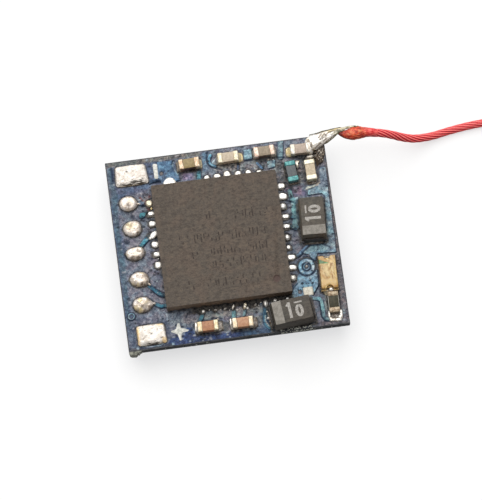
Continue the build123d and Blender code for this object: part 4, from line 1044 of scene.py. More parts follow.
# dark outlines along copper and dark patches beside parts, partly painted shade
dark_lines_and_shade = [
    (0.20, ((-3.294, 3.488), (-2.793, 3.43))),
    (0.14, ((-5.002, 4.344), (-5.005, 3.744))),
    (0.10, ((2.759, 0.263), (3.479, 0.226))),
    (0.07, ((-1.178, -3.543), (-0.71, -3.635))),
    (0.08, ((-3.806, 2.335), (-3.473, 2.29))),
    (0.08, ((-3.833, 1.741), (-3.492, 1.769))),
    (0.07, ((-4.042, 0.305), (-3.747, 0.538), (-3.562, 0.661))),
    (0.07, ((-3.811, -1.638), (-3.509, -1.905), (-3.193, -2.066))),
    (0.07, ((-3.882, -1.816), (-3.63, -2.096), (-3.453, -2.218), (-3.176, -2.305))),
    (0.07, ((-3.84, -2.608), (-3.617, -2.737), (-3.239, -2.788))),
    (0.09, ((-0.326, 4.564), (-0.413, 4.275), (-0.398, 4.022), (-0.245, 3.821), (0.26, 3.608))),
    (0.10, ((2.986, 3.846), (3.322, 3.81))),
    (0.08, ((1.366, 3.894), (1.752, 3.872))),
    (0.10, ((3.33, 3.519), (3.313, 2.87), (3.333, 2.317))),
    (0.10, ((3.147, 1.669), (3.422, 1.557))),
    (0.10, ((3.069, 0.758), (3.404, 0.733))),
    (0.07, ((4.087, -2.671), (3.904, -2.942), (3.763, -3.095))),
    (0.07, ((2.791, -2.816), (2.865, -2.629), (3.111, -2.416))),
    (0.09, ((3.334, -1.162), (3.638, -0.882), (3.934, -0.664), (4.412, -0.704))),
    (0.07, ((4.00, -3.45), (4.01, -4.18), (4.13, -4.41), (4.40, -4.48))),
    (0.06, ((3.527, -1.164), (3.811, -1.202), (4.02, -1.428), (4.054, -1.705))),
    (0.08, ((-2.406, -3.391), (-2.31, -3.208))),
    (0.08, ((1.526, -3.972), (1.519, -4.192), (1.597, -4.325))),
    (0.08, ((4.197, -0.512), (4.515, -0.654), (4.871, -0.875))),
]
dots = [
    (-4.977, -2.111, 0.13, 1), (3.296, -2.471, 0.08, 1), (3.768, -2.544, 0.08, 1), (-4.278, 1.851, 0.16, 1), (-3.792, 2.632, 0.10, 1), (-4.719, 0.669, 0.20, 1),
    (-3.863, -1.67, 0.06, 1), (-3.643, -1.454, 0.05, 1), (-3.596, 0.022, 0.07, 1), (-3.64, -0.318, 0.08, 1), (-3.894, -1.912, 0.10, 1), (-3.812, -2.76, 0.08, 1), (-3.473, -0.885, 0.06, 1),
    (-2.522, 4.21, 0.05, 1), (-2.322, 3.882, 0.05, 1), (1.035, -3.169, 0.05, 0), (1.069, 3.849, 0.07, 0), (-1.132, -3.564, 0.08, 1), (5.138, 0.329, 0.06, 0), (2.715, 2.401, 0.05, 1),
    (3.11, 0.007, 0.06, 1), (3.517, 0.151, 0.08, 1), (4.705, -0.679, 0.07, 1), (-4.873, -4.56, 0.10, 0), (-3.159, -4.55, 0.10, 0), (-0.454, -4.586, 0.06, 0),
    (3.734, 1.365, 0.20, 1), (3.646, 1.078, 0.20, 1),
]
drills = [(3.62, -1.68, 0.10, 0.41), (-2.65, 3.80, 0.10, 0.17), (-4.97, -2.97, 0.10, 0.17), (3.31, -2.47, 0.05, 0.12), (3.82, -2.50, 0.05, 0.12), (3.15, -2.86, 0.10, 0.16)]

ceramic_parts = {
    "capacitor_1": (-1.28, 4.01, 2.0), "capacitor_2": (0.61, 4.07, 1.0), "capacitor_3": (2.37, 4.13, 1.0), "capacitor_4": (4.13, 4.02, 0.0),
    "capacitor_5": (4.45, 2.92, 91.5), "capacitor_6": (-1.43, -4.00, 0.0), "capacitor_7": (0.24, -4.04, 0.0), "inductor": (3.54, 2.97, 94.2),
}
tantalum_parts = {"tantalum_1": (4.20, 0.48, 87.7), "tantalum_2": (2.61, -3.92, 5.4)}
chip_x, chip_y = -0.245, 0.05

output_outlines = [
    [(-4.862, 2.56), (-4.80, 2.72), (-4.68, 2.83), (-4.435, 2.885), (-4.20, 2.84), (-4.06, 2.70), (-3.97, 2.52), (-4.02, 2.34), (-4.16, 2.20), (-4.385, 2.132), (-4.62, 2.17), (-4.80, 2.32)],
    [(-4.843, 1.265), (-4.758, 1.476), (-4.60, 1.60), (-4.40, 1.645), (-4.16, 1.63), (-4.02, 1.55), (-3.945, 1.36), (-3.96, 1.12), (-4.08, 0.95), (-4.28, 0.88), (-4.54, 0.90), (-4.74, 1.04)],
    [(-4.873, 0.079), (-4.80, 0.23), (-4.62, 0.31), (-4.42, 0.34), (-4.20, 0.36), (-4.02, 0.29), (-3.95, 0.10), (-3.98, -0.10), (-4.12, -0.24), (-4.32, -0.30), (-4.58, -0.28), (-4.78, -0.15)],
    [(-4.85, -1.208), (-4.737, -1.02), (-4.56, -0.90), (-4.34, -0.865), (-4.10, -0.92), (-3.95, -1.06), (-3.90, -1.26), (-3.93, -1.48), (-4.06, -1.58), (-4.24, -1.62), (-4.525, -1.61), (-4.745, -1.45)],
    [(-4.85, -2.413), (-4.75, -2.24), (-4.58, -2.14), (-4.36, -2.10), (-4.12, -2.15), (-3.97, -2.29), (-3.81, -2.49), (-3.95, -2.66), (-4.12, -2.80), (-4.36, -2.87), (-4.58, -2.85), (-4.76, -2.69)],
]
battery_outlines = {
    "negative": ([(-4.853, 4.30), (-4.79, 4.385), (-4.50, 4.40), (-4.095, 4.409), (-3.70, 4.40), (-3.46, 4.385), (-3.38, 4.30), (-3.34, 3.90), (-3.305, 3.53), (-3.36, 3.42), (-3.70, 3.39), (-4.177, 3.385), (-4.60, 3.39), (-4.84, 3.41), (-4.89, 3.49), (-4.88, 3.90)],
                 (-4.10, 3.90)),
    "positive": ([(-4.825, -3.57), (-4.76, -3.50), (-4.50, -3.485), (-4.143, -3.48), (-3.80, -3.487), (-3.55, -3.497), (-3.48, -3.57), (-3.455, -3.95), (-3.435, -4.36), (-3.50, -4.45), (-3.80, -4.462), (-4.126, -4.466), (-4.50, -4.465), (-4.75, -4.46), (-4.815, -4.38), (-4.82, -3.95)],
                 (-4.14, -3.98)),
}
# solder seen at the big chip's leads: x, y, half length along x, half width along y
right_spots = [(2.945, 2.40, .175, .125), (2.950, 1.885, .190, .145), (2.895, 1.385, .150, .150), (2.940, 0.885, .170, .085), (2.935, 0.40, .175, .085), (2.885, -0.135, .140, .150),
               (2.885, -0.63, .095, .085), (2.955, -1.135, .185, .100), (2.935, -1.635, .180, .100), (2.890, -2.155, .140, .145)]
top_spots = [(-0.52, 3.255, .125, .115), (-0.01, 3.265, .145, .120), (0.475, 3.285, .150, .165), (1.00, 3.27, .145, .135), (1.49, 3.255, .125, .115), (2.00, 3.215, .120, .080)]
left_spots = [(-3.41, 2.40, .140, .125), (-3.385, 1.885, .155, .090), (-3.39, 1.385, .160, .115), (-3.41, 0.83, .235, .125), (-3.385, 0.36, .155, .130), (-3.37, -0.13, .150, .100), (-3.375, -0.66, .145, .145)]
low_spots = [(-1.55, -3.205, .075, .090), (-0.114, -3.165, .085, .110), (0.45, -3.185, .105, .130), (1.445, -3.20, .105, .150), (1.915, -3.12, .085, .085), (2.50, -3.12, .080, .070)]
lead_spots = right_spots + top_spots + left_spots + low_spots

nx, ny = 296, 258
gx, gy = np.linspace(-5.255, 5.265, nx), np.linspace(-4.615, 4.618, ny)
X, Y = (a.ravel() for a in np.meshgrid(gx, gy, indexing="ij"))
cu = np.full(X.shape, 1e9)
trace_d, fill_d = cu.copy(), cu.copy()
for w, pts in traces:
    trace_d = np.minimum(trace_d, line_distance(X, Y, pts) - w / 2)
for pts in fills:
    fill_d = np.minimum(fill_d, area_distance(X, Y, pts))
for dx, dy, r, ring in drills:
    fill_d = np.minimum(fill_d, np.hypot(X - dx, Y - dy) - ring)
grid = np.stack([X, Y, np.zeros_like(X)], 1)
wobble = 0.010 * value_noise(grid, 3.0, 31) + 0.006 * value_noise(grid, 9.0, 32)
cu = np.minimum(trace_d, fill_d) + wobble
height = 1.558 + 0.030 * smooth(0.030, -0.022, cu)
height += 0.0035 * fractal(grid, 1.1, 41) + 0.0015 * value_noise(grid, 6.0, 43)
height -= 0.004 * np.exp(-((cu - 0.045) / 0.025) ** 2)
# the ring's annular groove and the drilled holes, which dip into the board
to_ring = np.hypot(X - 3.62, Y + 1.68)
height -= 0.020 * np.exp(-((to_ring - 0.44) / 0.035) ** 2)
for dx, dy, r, ring in drills:
    d = np.hypot(X - dx, Y - dy)
    height -= (0.24 if r > 0.08 else 0.05) * smooth(r + 0.015, r - 0.035, d)
    if ring < 0.3:
        height += 0.012 * np.exp(-((d - ring + 0.03) / 0.03) ** 2)
for dx, dy, r, dark in dots:
    d = np.hypot(X - dx, Y - dy)
    height += (-0.006 if dark else 0.006) * np.exp(-(d / r) ** 2 * 1.6)
height = np.minimum(height, 1.5935)

grey = np.array(linear(106, 109, 118)) * 1.20
bare = np.tile(grey, (len(X), 1))


def paint(target, colour, amount):
    return target * (1 - amount[:, None]) + np.array(colour) * amount[:, None]


zones = [
    (((-5.4, 4.7), (-3.2, 4.7), (-2.0, 4.5), (-1.9, 3.3), (-3.2, 3.3), (-3.3, 3.10), (-4.1, 2.95), (-4.95, 2.6), (-4.95, 1.7), (-4.80, 0.6), (-4.92, -0.2), (-4.98, -1.5), (-4.95, -3.1), (-5.4, -3.2)), linear(74, 85, 106), 0.14, 0.90),
    (((-5.4, -3.0), (-4.6, -3.1), (-3.3, -3.35), (-3.2, -4.0), (-3.1, -4.7), (-5.4, -4.7)), linear(76, 84, 98), 0.15, 0.9),
    (((-4.95, -4.50), (-3.42, -4.48), (-3.10, -4.12), (-2.60, -4.20), (-2.42, -3.85), (-2.20, -3.88), (-2.05, -4.22), (-1.6, -4.30), (-0.8, -4.29), (0.06, -4.36), (0.92, -4.38), (1.5, -4.34), (1.7, -4.7), (-5.0, -4.7)), linear(47, 62, 97), 0.04, 0.97),
    (((-5.16, 4.40), (-4.97, 4.42), (-4.99, 3.60), (-4.86, 3.00), (-4.98, 2.10), (-4.99, 0.6), (-4.93, -0.5), (-5.02, -2.4), (-5.10, -3.6), (-5.2, -3.2), (-5.22, 0.3), (-5.2, 3.3)), linear(68, 88, 98), 0.04, 0.75),
    (((-0.60, 4.55), (-0.25, 4.55), (-0.39, 4.25), (-0.42, 3.98), (-0.30, 3.73), (-0.66, 3.62), (-0.66, 3.96)), linear(92, 122, 142), 0.05, 0.7),
    (((1.05, -3.1), (1.5, -3.1), (1.62, -4.3), (1.15, -4.4)), linear(66, 86, 106), 0.07, 0.8),
    (((-1.618, 3.712), (-1.144, 3.623), (-1.187, 3.303), (-1.666, 3.343)), linear(146, 135, 162), 0.08, 0.85),
    (((-5.4, 4.42), (-0.7, 4.44), (-0.7, 4.7), (-5.4, 4.7)), linear(102, 100, 94), 0.07, 0.95),
    (((-5.4, 4.45), (-5.15, 4.45), (-5.17, 2.5), (-5.4, 2.5)), linear(88, 90, 94), 0.06, 0.6),
    (((0.30, 4.1), (2.3, 3.95), (3.4, 3.9), (3.3, 2.6), (2.8, 2.6), (2.6, 3.3), (0.3, 3.4)), linear(118, 117, 116), 0.12, 0.8),
    (((-0.2, 4.42), (3.0, 4.50), (5.4, 4.50), (5.4, 4.7), (-0.2, 4.7)), linear(102, 105, 115), 0.06, 0.7),
    (((5.17, 3.3), (5.4, 3.3), (5.4, -1.2), (5.15, -1.2)), linear(106, 98, 96), 0.04, 0.9),
    (((5.02, -1.15), (5.4, -1.15), (5.4, -4.7), (3.95, -4.7), (3.9, -4.42), (4.9, -4.42)), linear(100, 94, 94), 0.07, 0.85),
    (((-3.75, 2.9), (-3.35, 2.8), (-3.35, 1.5), (-3.75, 1.6)), linear(94, 90, 92), 0.15, 0.6),
    (((-3.8, 0.2), (-3.3, 0.2), (-3.25, -1.9), (-3.7, -1.6)), linear(107, 104, 116), 0.2, 0.7),
    (((-3.9, -2.9), (-3.3, -2.85), (-3.25, -3.38), (-4.6, -3.38)), linear(106, 110, 120), 0.06, 0.9),
    (((-0.8, -3.2), (1.1, -3.2), (1.0, -4.2), (-0.8, -4.3)), linear(118, 118, 128), 0.12, 0.8),
    (((2.95, 2.30), (3.5, 2.25), (4.1, 2.05), (4.1, 1.78), (3.6, 1.85)), linear(114, 100, 124), 0.06, 0.7),
    (((-1.2, -3.40), (-0.5, -3.38), (-0.35, -3.62), (-0.85, -3.70), (-1.15, -3.62)), linear(134, 132, 140), 0.05, 0.75),
    (((0.62, -3.32), (1.16, -3.34), (1.12, -3.95), (0.80, -3.95)), linear(126, 125, 136), 0.05, 0.7),
    (((-3.2, -3.42), (-1.7, -3.40), (-1.75, -3.70), (-2.4, -3.72), (-3.2, -3.55)), linear(118, 119, 122), 0.08, 0.8),
    (((-5.3, -4.50), (-3.2, -4.52), (-3.2, -4.7), (-5.3, -4.7)), linear(58, 60, 66), 0.03, 0.8),
    (((0.1, -4.30), (1.7, -4.28), (1.7, -4.7), (0.1, -4.7)), linear(66, 86, 104), 0.10, 0.7),
    (((-1.75, -3.22), (1.3, -3.22), (1.3, -3.60), (-1.75, -3.60)), linear(132, 134, 130), 0.07, 0.85),
    (((-0.28, -3.25), (0.40, -3.25), (0.38, -3.56), (-0.28, -3.56)), linear(166, 168, 164), 0.06, 0.85),
    (((-0.70, -3.80), (-0.38, -3.84), (-0.44, -4.30), (-0.76, -4.27)), linear(80, 83, 84), 0.06, 0.95),
    (((0.90, -3.72), (1.22, -3.76), (1.16, -4.20), (0.88, -4.16)), linear(120, 117, 111), 0.05, 0.8),
    (((3.86, 3.46), (4.20, 3.42), (4.08, 2.42), (3.76, 2.46)), linear(127, 121, 117), 0.05, 0.85),
    (((3.26, 2.36), (3.90, 2.28), (3.86, 1.92), (3.23, 2.00)), linear(137, 120, 131), 0.06, 0.85),
    (((4.30, -3.00), (4.48, -3.03), (4.36, -3.92), (4.19, -3.90)), linear(142, 144, 140), 0.05, 0.9),
    (((-0.10, 3.97), (1.25, 3.82), (1.20, 3.42), (-0.10, 3.56)), linear(152, 151, 146), 0.08, 0.85),
    (((1.38, -3.28), (1.74, -3.32), (1.66, -4.0), (1.38, -3.95)), linear(116, 134, 134), 0.05, 0.8),
    (((-4.80, 2.16), (-4.18, 2.06), (-4.22, 1.74), (-4.83, 1.82)), linear(93, 97, 104), 0.08, 0.85),
]
for corners, colour, soft, amount in zones:
    bare = paint(bare, np.array(colour) * 1.20, amount * smooth(soft, -soft, area_distance(X, Y, list(corners))))
mottle = 1 + 0.16 * fractal(grid, 2.6, 51) + 0.10 * value_noise(grid, 11.0, 52)
bare *= mottle[:, None]
teal = np.array(linear(76, 150, 172)) * 1.05
blue = np.array(linear(142, 167, 174))
deep_blue = np.array(linear(56, 74, 116)) * 0.70
over = np.tile(blue, (len(X), 1))
over = paint(over, teal, smooth(0.03, -0.03, trace_d - 0.01))
trace_tints = [(0, (88, 92, 110)), (1, (52, 120, 126)), (2, (66, 122, 136)), (5, (74, 110, 120)), (10, (84, 130, 150)), (9, (84, 128, 138)), (11, (108, 128, 134)), (12, (100, 132, 134)), (15, (96, 126, 150)), (16, (100, 132, 136)), (18, (96, 118, 144)), (19, (90, 118, 146)), (7, (106, 132, 138)), (6, (92, 126, 132)), (8, (64, 98, 114)), (3, (50, 94, 110)), (4, (50, 94, 110))]
for k, tone in trace_tints:
    over = paint(over, np.array(linear(*tone)) * 1.30, smooth(0.03, -0.03, line_distance(X, Y, traces[k][1]) - traces[k][0] / 2 - 0.01))
over = paint(over, np.array(linear(92, 119, 143)), smooth(-3.4, -3.2, X) * (Y > 3.2) * (X < -1.7) * 1.0)
over = paint(over, np.array(linear(130, 161, 177)), smooth(2.6, 2.9, X) * (Y < -1.0) * ((Y > -3.20) | (X < 3.58)) * 1.0)
over = paint(over, np.array(linear(116, 133, 145)), smooth(4.3, 4.5, X) * smooth(2.0, 2.3, Y))
over = paint(over, np.array(linear(62, 124, 132)) * 1.15, smooth(-3.5, -3.65, X) * (Y > 1.5) * (Y < 2.1) * (X > -4.1) * 1.0)
over = paint(over, np.array(linear(142, 178, 196)), 0.8 * smooth(0.245, 0.275, to_ring) * smooth(0.40, 0.37, to_ring))
over *= (1 + 0.18 * fractal(grid, 2.3, 61))[:, None]
# painted highlights along the copper edges
for w, pts in edge_highlight_lines:
    m = 0.85 * smooth(w * 0.75, w * 0.15, line_distance(X, Y, pts))
    bare, over = paint(bare, linear(176, 196, 204), m), paint(over, linear(176, 200, 208), m)
# dark outlines and patches, partly painted shade
for w, pts in dark_lines_and_shade:
    m = 0.85 * smooth(w * 0.75, w * 0.25, line_distance(X, Y, pts))
    bare, over = paint(bare, linear(14, 30, 54), m), paint(over, linear(14, 36, 62), m)
for dx, dy, r, dark in dots:
    m = 0.8 * smooth(r, r * 0.4, np.hypot(X - dx, Y - dy) + 0.02 * value_noise(grid, 12, 71))
    tone = linear(26, 36, 54) if dark else linear(150, 164, 172)
    bare, over = paint(bare, tone, m), paint(over, tone, m)
# painted shade: a dark outline round the via's ring, fading towards its upper left
m = 1.0 * np.exp(-((to_ring - 0.436) / 0.070) ** 4) * smooth(-1.0, 0.2, np.sin(np.arctan2(Y + 1.68, X - 3.62) * 1.0 - 0.9) * -1.0 + 0.75)
over, bare = paint(over, (0.004, 0.012, 0.035), m), paint(bare, (0.004, 0.012, 0.035), m)
m = 1.0 * np.exp(-((to_ring - 0.195) / 0.055) ** 4)
over = paint(over, (0.006, 0.016, 0.040), m)
# painted highlight: a pale arc on the upper right of the via's ring
m = 0.95 * np.exp(-((to_ring - 0.345) / 0.042) ** 2) * smooth(0.1, 0.7, np.cos(np.arctan2(Y + 1.68, X - 3.62) - 0.5))
over = paint(over, linear(190, 214, 222), m)
# painted shade: the inside of each drilled hole is dark, and a dark ring is painted just outside each copper ring
for dx, dy, r, ring in drills:
    d = np.hypot(X - dx, Y - dy)
    m = smooth(r + 0.015, r - 0.02, d)
    bare, over = paint(bare, (0.012, 0.014, 0.02), m), paint(over, (0.012, 0.014, 0.02), m)
    m = 0.9 * np.exp(-((d - ring - 0.035) / 0.028) ** 2)
    bare = paint(bare, (0.006, 0.012, 0.03), m)
cream = linear(222, 218, 200)
for w, pts in ((0.075, ((4.17, 2.17), (4.45, 2.20), (4.68, 2.26))), (0.06, ((4.72, 2.27), (4.81, 2.36), (4.83, 2.52))), (0.05, ((1.36, -3.80), (1.34, -4.05), (1.46, -4.30), (1.62, -4.38)))):
    m = 0.9 * smooth(w * 0.8, w * 0.3, line_distance(X, Y, pts) + 0.02 * value_noise(grid, 9.0, 73))
    bare, over = paint(bare, cream, m), paint(over, cream, m)
rng = np.random.default_rng(23)
for x0, x1, y0, y1, count, share in ((-3.95, -3.40, 1.5, 2.95, 46, 0.85), (-3.95, -3.35, -1.9, 1.5, 34, 0.8), (2.9, 4.15, 2.0, 3.7, 130, 0.62), (0.0, 2.9, 3.36, 3.8, 64, 0.62), (-5.1, -4.85, -4.0, 4.0, 24, 0.7),
                                     (-3.2, 1.9, -4.6, -4.2, 60, 0.55), (-3.3, 1.2, -4.25, -3.15, 90, 0.65), (2.98, 3.4, -0.5, 2.2, 30, 0.7), (5.08, 5.26, -4.6, 3.0, 30, 0.6), (-3.3, 3.3, 4.38, 4.6, 34, 0.5),
                                     (-3.2, -1.9, 3.3, 4.5, 16, 0.8), (3.0, 4.1, -3.2, -0.6, 24, 0.7), (4.85, 5.2, -1.0, 3.0, 16, 0.5), (4.0, 5.2, -4.6, -4.0, 20, 0.6), (-4.9, -3.4, -3.4, 3.3, 46, 0.75), (-1.9, 0.2, 3.3, 4.4, 30, 0.7)):
    for _ in range(count):
        sx, sy, r = x0 + (x1 - x0) * rng.random(), y0 + (y1 - y0) * rng.random(), 0.022 + 0.034 * rng.random() ** 2
        stretch = 1 + 1.2 * rng.random()
        m = 0.85 * smooth(r * 1.3, r * 0.5, np.hypot((X - sx) / stretch, Y - sy))
        tone = (0.006, 0.008, 0.014) if rng.random() < share else (0.30, 0.33, 0.35)
        bare, over = paint(bare, tone, m), paint(over, tone, m)
red_flux = np.array(linear(116, 52, 40))
for sx, sy, r in ((-3.55, 2.53, 0.06), (-3.60, 2.40, 0.05), (-3.46, 2.13, 0.09), (-3.33, 2.16, 0.07), (-3.80, 2.74, 0.05), (-3.38, 2.75, 0.05), (-3.72, 2.61, 0.04), (-3.58, 2.24, 0.045)):
    m = 0.75 * smooth(r * 1.3, r * 0.3, np.hypot(X - sx, (Y - sy) * 0.8) + 0.05 * value_noise(grid, 9.0, 74))
    bare, over = paint(bare, red_flux, m), paint(over, red_flux, m)
# dark flux round the parts and the solder; it also stands in for the contact shade there, so it is partly painted shade
flux_and_contact_shade = np.zeros(len(X))


def flux_and_shade_round(distance, reach, amount, broken=0.5):
    """Dark flux and painted contact shade in the gap round something; distance is zero at its outline."""
    global flux_and_contact_shade
    ragged = 1 - broken * smooth(-0.1, 0.5, value_noise(grid, 4.5, 95))
    flux_and_contact_shade = np.maximum(flux_and_contact_shade, amount * ragged * smooth(reach, reach * 0.25, distance + 0.015 * value_noise(grid, 8.0, 96)) * smooth(-0.10, -0.02, distance))


for name, (px, py, turn) in ceramic_parts.items():
    strong = {"capacitor_1": 0.95, "capacitor_6": 0.8, "capacitor_7": 0.8, "inductor": 0.75, "capacitor_5": 0.7}.get(name, 0.6)
    flux_and_shade_round(area_distance(X, Y, turned_box(px, py, 1.04, 0.54, turn)), 0.15, min(0.95, strong + 0.12), 0.35)
for px, py, turn in tantalum_parts.values():
    flux_and_shade_round(area_distance(X, Y, turned_box(px, py, 2.08, 1.24, turn)), 0.17, 0.95, 0.25)
flux_and_shade_round(area_distance(X, Y, turned_box(4.59, -2.18, 1.74, 0.88, 88.4)), 0.075, 0.80, 0.45)
flux_and_shade_round(area_distance(X, Y, turned_box(4.655, -3.60, 1.04, 0.54, 88.4)), 0.13, 0.95, 0.2)
flux_and_shade_round(area_distance(X, Y, turned_box(4.65, -4.02, 0.66, 0.48, 0)), 0.07, 0.7, 0.4)
flux_and_shade_round(area_distance(X, Y, turned_box(chip_x, chip_y, 6.0, 6.0, 0)), 0.16, 0.75, 0.6)
for corners in output_outlines:
    flux_and_shade_round(area_distance(X, Y, list(corners)), 0.11, 0.92, 0.35)
for corners, _ in battery_outlines.values():
    flux_and_shade_round(area_distance(X, Y, list(corners)), 0.09, 0.88, 0.4)
flux_and_shade_round(area_distance(X, Y, turned_box(3.54, -2.88, 0.50, 0.44, 0)), 0.05, 0.5, 0.5)
for px, py, rx, ry in lead_spots:
    flux_and_shade_round(np.hypot((X - px) / (rx + 0.02), (Y - py) / (ry + 0.02)) * min(rx, ry) - min(rx, ry), 0.11 if py > -2.8 else 0.06, 0.95, 0.15)
# more dark flux and painted shade: beside the inductor, under the chip's front edge and at the antenna corner
flux_and_shade_round(area_distance(X, Y, [(2.9, 3.5), (3.2, 3.45), (3.2, 2.45), (3.0, 2.4)]) + 0.2, 0.30, 0.35, 0.9)
flux_and_contact_shade = np.maximum(flux_and_contact_shade, 0.55 * smooth(0.12, -0.05, area_distance(X, Y, [(2.85, 3.55), (4.05, 3.5), (4.10, 2.15), (3.05, 2.2)])) * smooth(0.05, 0.35, value_noise(grid, 5.5, 97)))
ragged_edge = -3.25 + 0.12 * value_noise(grid * np.array([1.0, 0.4, 1.0]), 4.0, 98) + 0.06 * value_noise(grid, 9.0, 99)
flux_and_contact_shade = np.maximum(flux_and_contact_shade, 0.95 * smooth(ragged_edge - 0.05, ragged_edge + 0.03, Y) * (Y < -2.9) * smooth(-2.6, -1.9, X) * smooth(3.0, 2.7, X))
flux_and_contact_shade = np.maximum(flux_and_contact_shade, 0.8 * smooth(0.10, -0.05, area_distance(X, Y, [(4.05, 3.75), (5.25, 4.15), (5.22, 3.35), (4.85, 3.15), (4.10, 3.55)])))
flux_and_contact_shade = np.clip(flux_and_contact_shade, 0, 0.95)
# painted shade: how much the copper-edge outline is darkened, most where the edge faces +X and -Y
gyx = np.gradient(cu.reshape(nx, ny), gx, gy)
facing = np.clip(gyx[0] * 0.45 - gyx[1] * 0.9, -1, 1).ravel()
shade = 0.30 + 0.62 * np.clip(facing, 0, 1)

rough_edge = 0.014 * value_noise(grid, 5.0, 81)
PX, PY = X.copy(), Y.copy()
PX[X == gx[0]] += rough_edge[X == gx[0]]
PX[X == gx[-1]] += rough_edge[X == gx[-1]]
PY[Y == gy[0]] += rough_edge[Y == gy[0]]
PY[Y == gy[-1]] += rough_edge[Y == gy[-1]]
verts = np.stack([PX, PY, height], 1)
at = np.arange(nx * ny).reshape(nx, ny)
a, b, c, d = at[:-1, :-1].ravel(), at[1:, :-1].ravel(), at[1:, 1:].ravel(), at[:-1, 1:].ravel()
faces = list(zip(a.tolist(), b.tolist(), c.tolist(), d.tolist()))
border = list(at[:, 0]) + list(at[-1, 1:]) + list(at[-2::-1, -1]) + list(at[0, -2:0:-1])
border = [int(i) for i in border]
low = verts[border].copy()
low[:, 2] = 1.545
n = len(verts)
m = len(border)
faces += [(border[i], n + i, n + (i + 1) % m, border[(i + 1) % m]) for i in range(m)]
faces.append(tuple(n + i for i in range(m - 1, -1, -1)))
shape = Shape()
shape.verts = [tuple(v) for v in np.vstack([verts, low]).tolist()]
shape.faces = faces
ext = lambda q: np.concatenate([q, q[border]])
mask_top = piece("solder_mask_top", shape, board_mask, ("copper_top",), angle=80,
                 floats={"cu": ext(cu), "shade": ext(shade), "flux_and_contact_shade": ext(flux_and_contact_shade)}, colours={"bare": np.clip(ext(bare), 0, 1), "over": np.clip(ext(over), 0, 1)})

mask_height = height.reshape(nx, ny)


def mask_at(x, y):
    i = int(round((x - gx[0]) / (gx[1] - gx[0])))
    j = int(round((y - gy[0]) / (gy[1] - gy[0])))
    return float(mask_height[min(max(i, 0), nx - 1), min(max(j, 0), ny - 1)])


# ---------------------------------------------------------------- lands
shape = Shape()


def land(x, y, length, width, turn=0.0, r=0.05):
    v, fc = plate(placed(rounded(length, width, min(r, length * 0.4, width * 0.4)), x, y, turn), 1.552, 1.5975, 0.012, 0.002)
    shape.add(v, fc)


for k in range(10):
    s = (k - 4.5) * 0.5
    for px, py, turn, seen in ((3, s, 0, True), (-3, s, 180, k > 2), (s, 3, 90, k > 3), (s, -3, 270, False)):
        if seen:
            land(chip_x + px, chip_y + py, 0.66, 0.20, turn, 0.04)
        else:
            land(chip_x + px * (0.93 if abs(px) == 3 else 1), chip_y + py * (0.93 if abs(py) == 3 else 1), 0.38, 0.20, turn, 0.04)
beyond = {"capacitor_1": (0.10, 0.14), "capacitor_2": (0.24, 0.03), "capacitor_3": (0.07, 0.03), "capacitor_4": (0.03, 0.24), "capacitor_5": (0.10, 0.12),
          "capacitor_6": (0.24, 0.13), "capacitor_7": (0.22, 0.12), "inductor": (0.03, 0.08)}
for name, (x, y, turn) in ceramic_parts.items():
    c, s = cos(radians(turn)), sin(radians(turn))
    for end, more in zip((1, -1), beyond[name]):
        length = 0.26 + more
        mid = 0.50 + more - length / 2
        land(x + end * mid * c, y + end * mid * s, length, 0.50, turn)
for x, y, turn in tantalum_parts.values():
    c, s = cos(radians(turn)), sin(radians(turn))
    for end in (-1, 1):
        land(x + end * 0.90 * c, y + end * 0.90 * s, 0.44, 0.92, turn)
for x, y, turn, half, w, more in ((4.59, -2.18, 88.4, 0.85, 0.72, (-0.02, 0.12)), (4.655, -3.60, 88.4, 0.50, 0.50, (0.0, 0.38))):
    c, s = cos(radians(turn)), sin(radians(turn))
    for end, out in zip((1, -1), more):
        length = 0.30 + out
        mid = half + out - length / 2
        land(x + end * mid * c, y + end * mid * s, length, w, turn)
land(4.90, 4.12, 0.62, 0.80, 0, 0.1)
piece("lands_top", shape, land_tin, angle=50)

# ---------------------------------------------------------------- painted marks
shape = Shape()


def ink(points, thick=0.012):
    """A painted shape: an outline with close points, sitting on the mask."""
    pts = []
    if sum(ax * by - bx * ay for (ax, ay), (bx, by) in zip(points, points[1:] + points[:1])) < 0:
        points = points[::-1]
    for (ax, ay), (bx, by) in zip(points, points[1:] + points[:1]):
        steps = max(1, int(hypot(bx - ax, by - ay) / 0.05))
        pts += [(ax + (bx - ax) * k / steps, ay + (by - ay) * k / steps) for k in range(steps)]
    q = np.array([(x, y, 0.0) for x, y in pts])
    q[:, 0] += 0.012 * value_noise(q, 9.0, 91)
    q[:, 1] += 0.012 * value_noise(q, 9.0, 92)
    high = max(mask_at(x, y) for x, y in pts) + thick
    v, fc = plate([(x, y) for x, y, _ in q], 1.552, high, 0.012, 0.003)
    shape.add(v, fc)


ink([(-3.022, 4.284), (-2.973, 4.323), (-2.835, 4.304), (-2.799, 4.244), (-2.825, 3.627), (-2.875, 3.579), (-2.982, 3.578), (-3.018, 3.633)])
ink([(-3.19, -3.922), (-3.042, -3.887), (-2.928, -3.832), (-2.843, -3.588), (-2.757, -3.583), (-2.698, -3.825), (-2.572, -3.88), (-2.345, -3.982),
     (-2.407, -4.044), (-2.621, -4.053), (-2.721, -4.121), (-2.761, -4.431), (-2.845, -4.42), (-2.897, -4.125), (-3.045, -4.034), (-3.181, -3.977)])
piece("board_marks", shape, board_ink, ("polarity_marks",), angle=45)

# ================================================================ solder of the big chip
shape, stain_and_shade_values, golds = Shape(), [], []


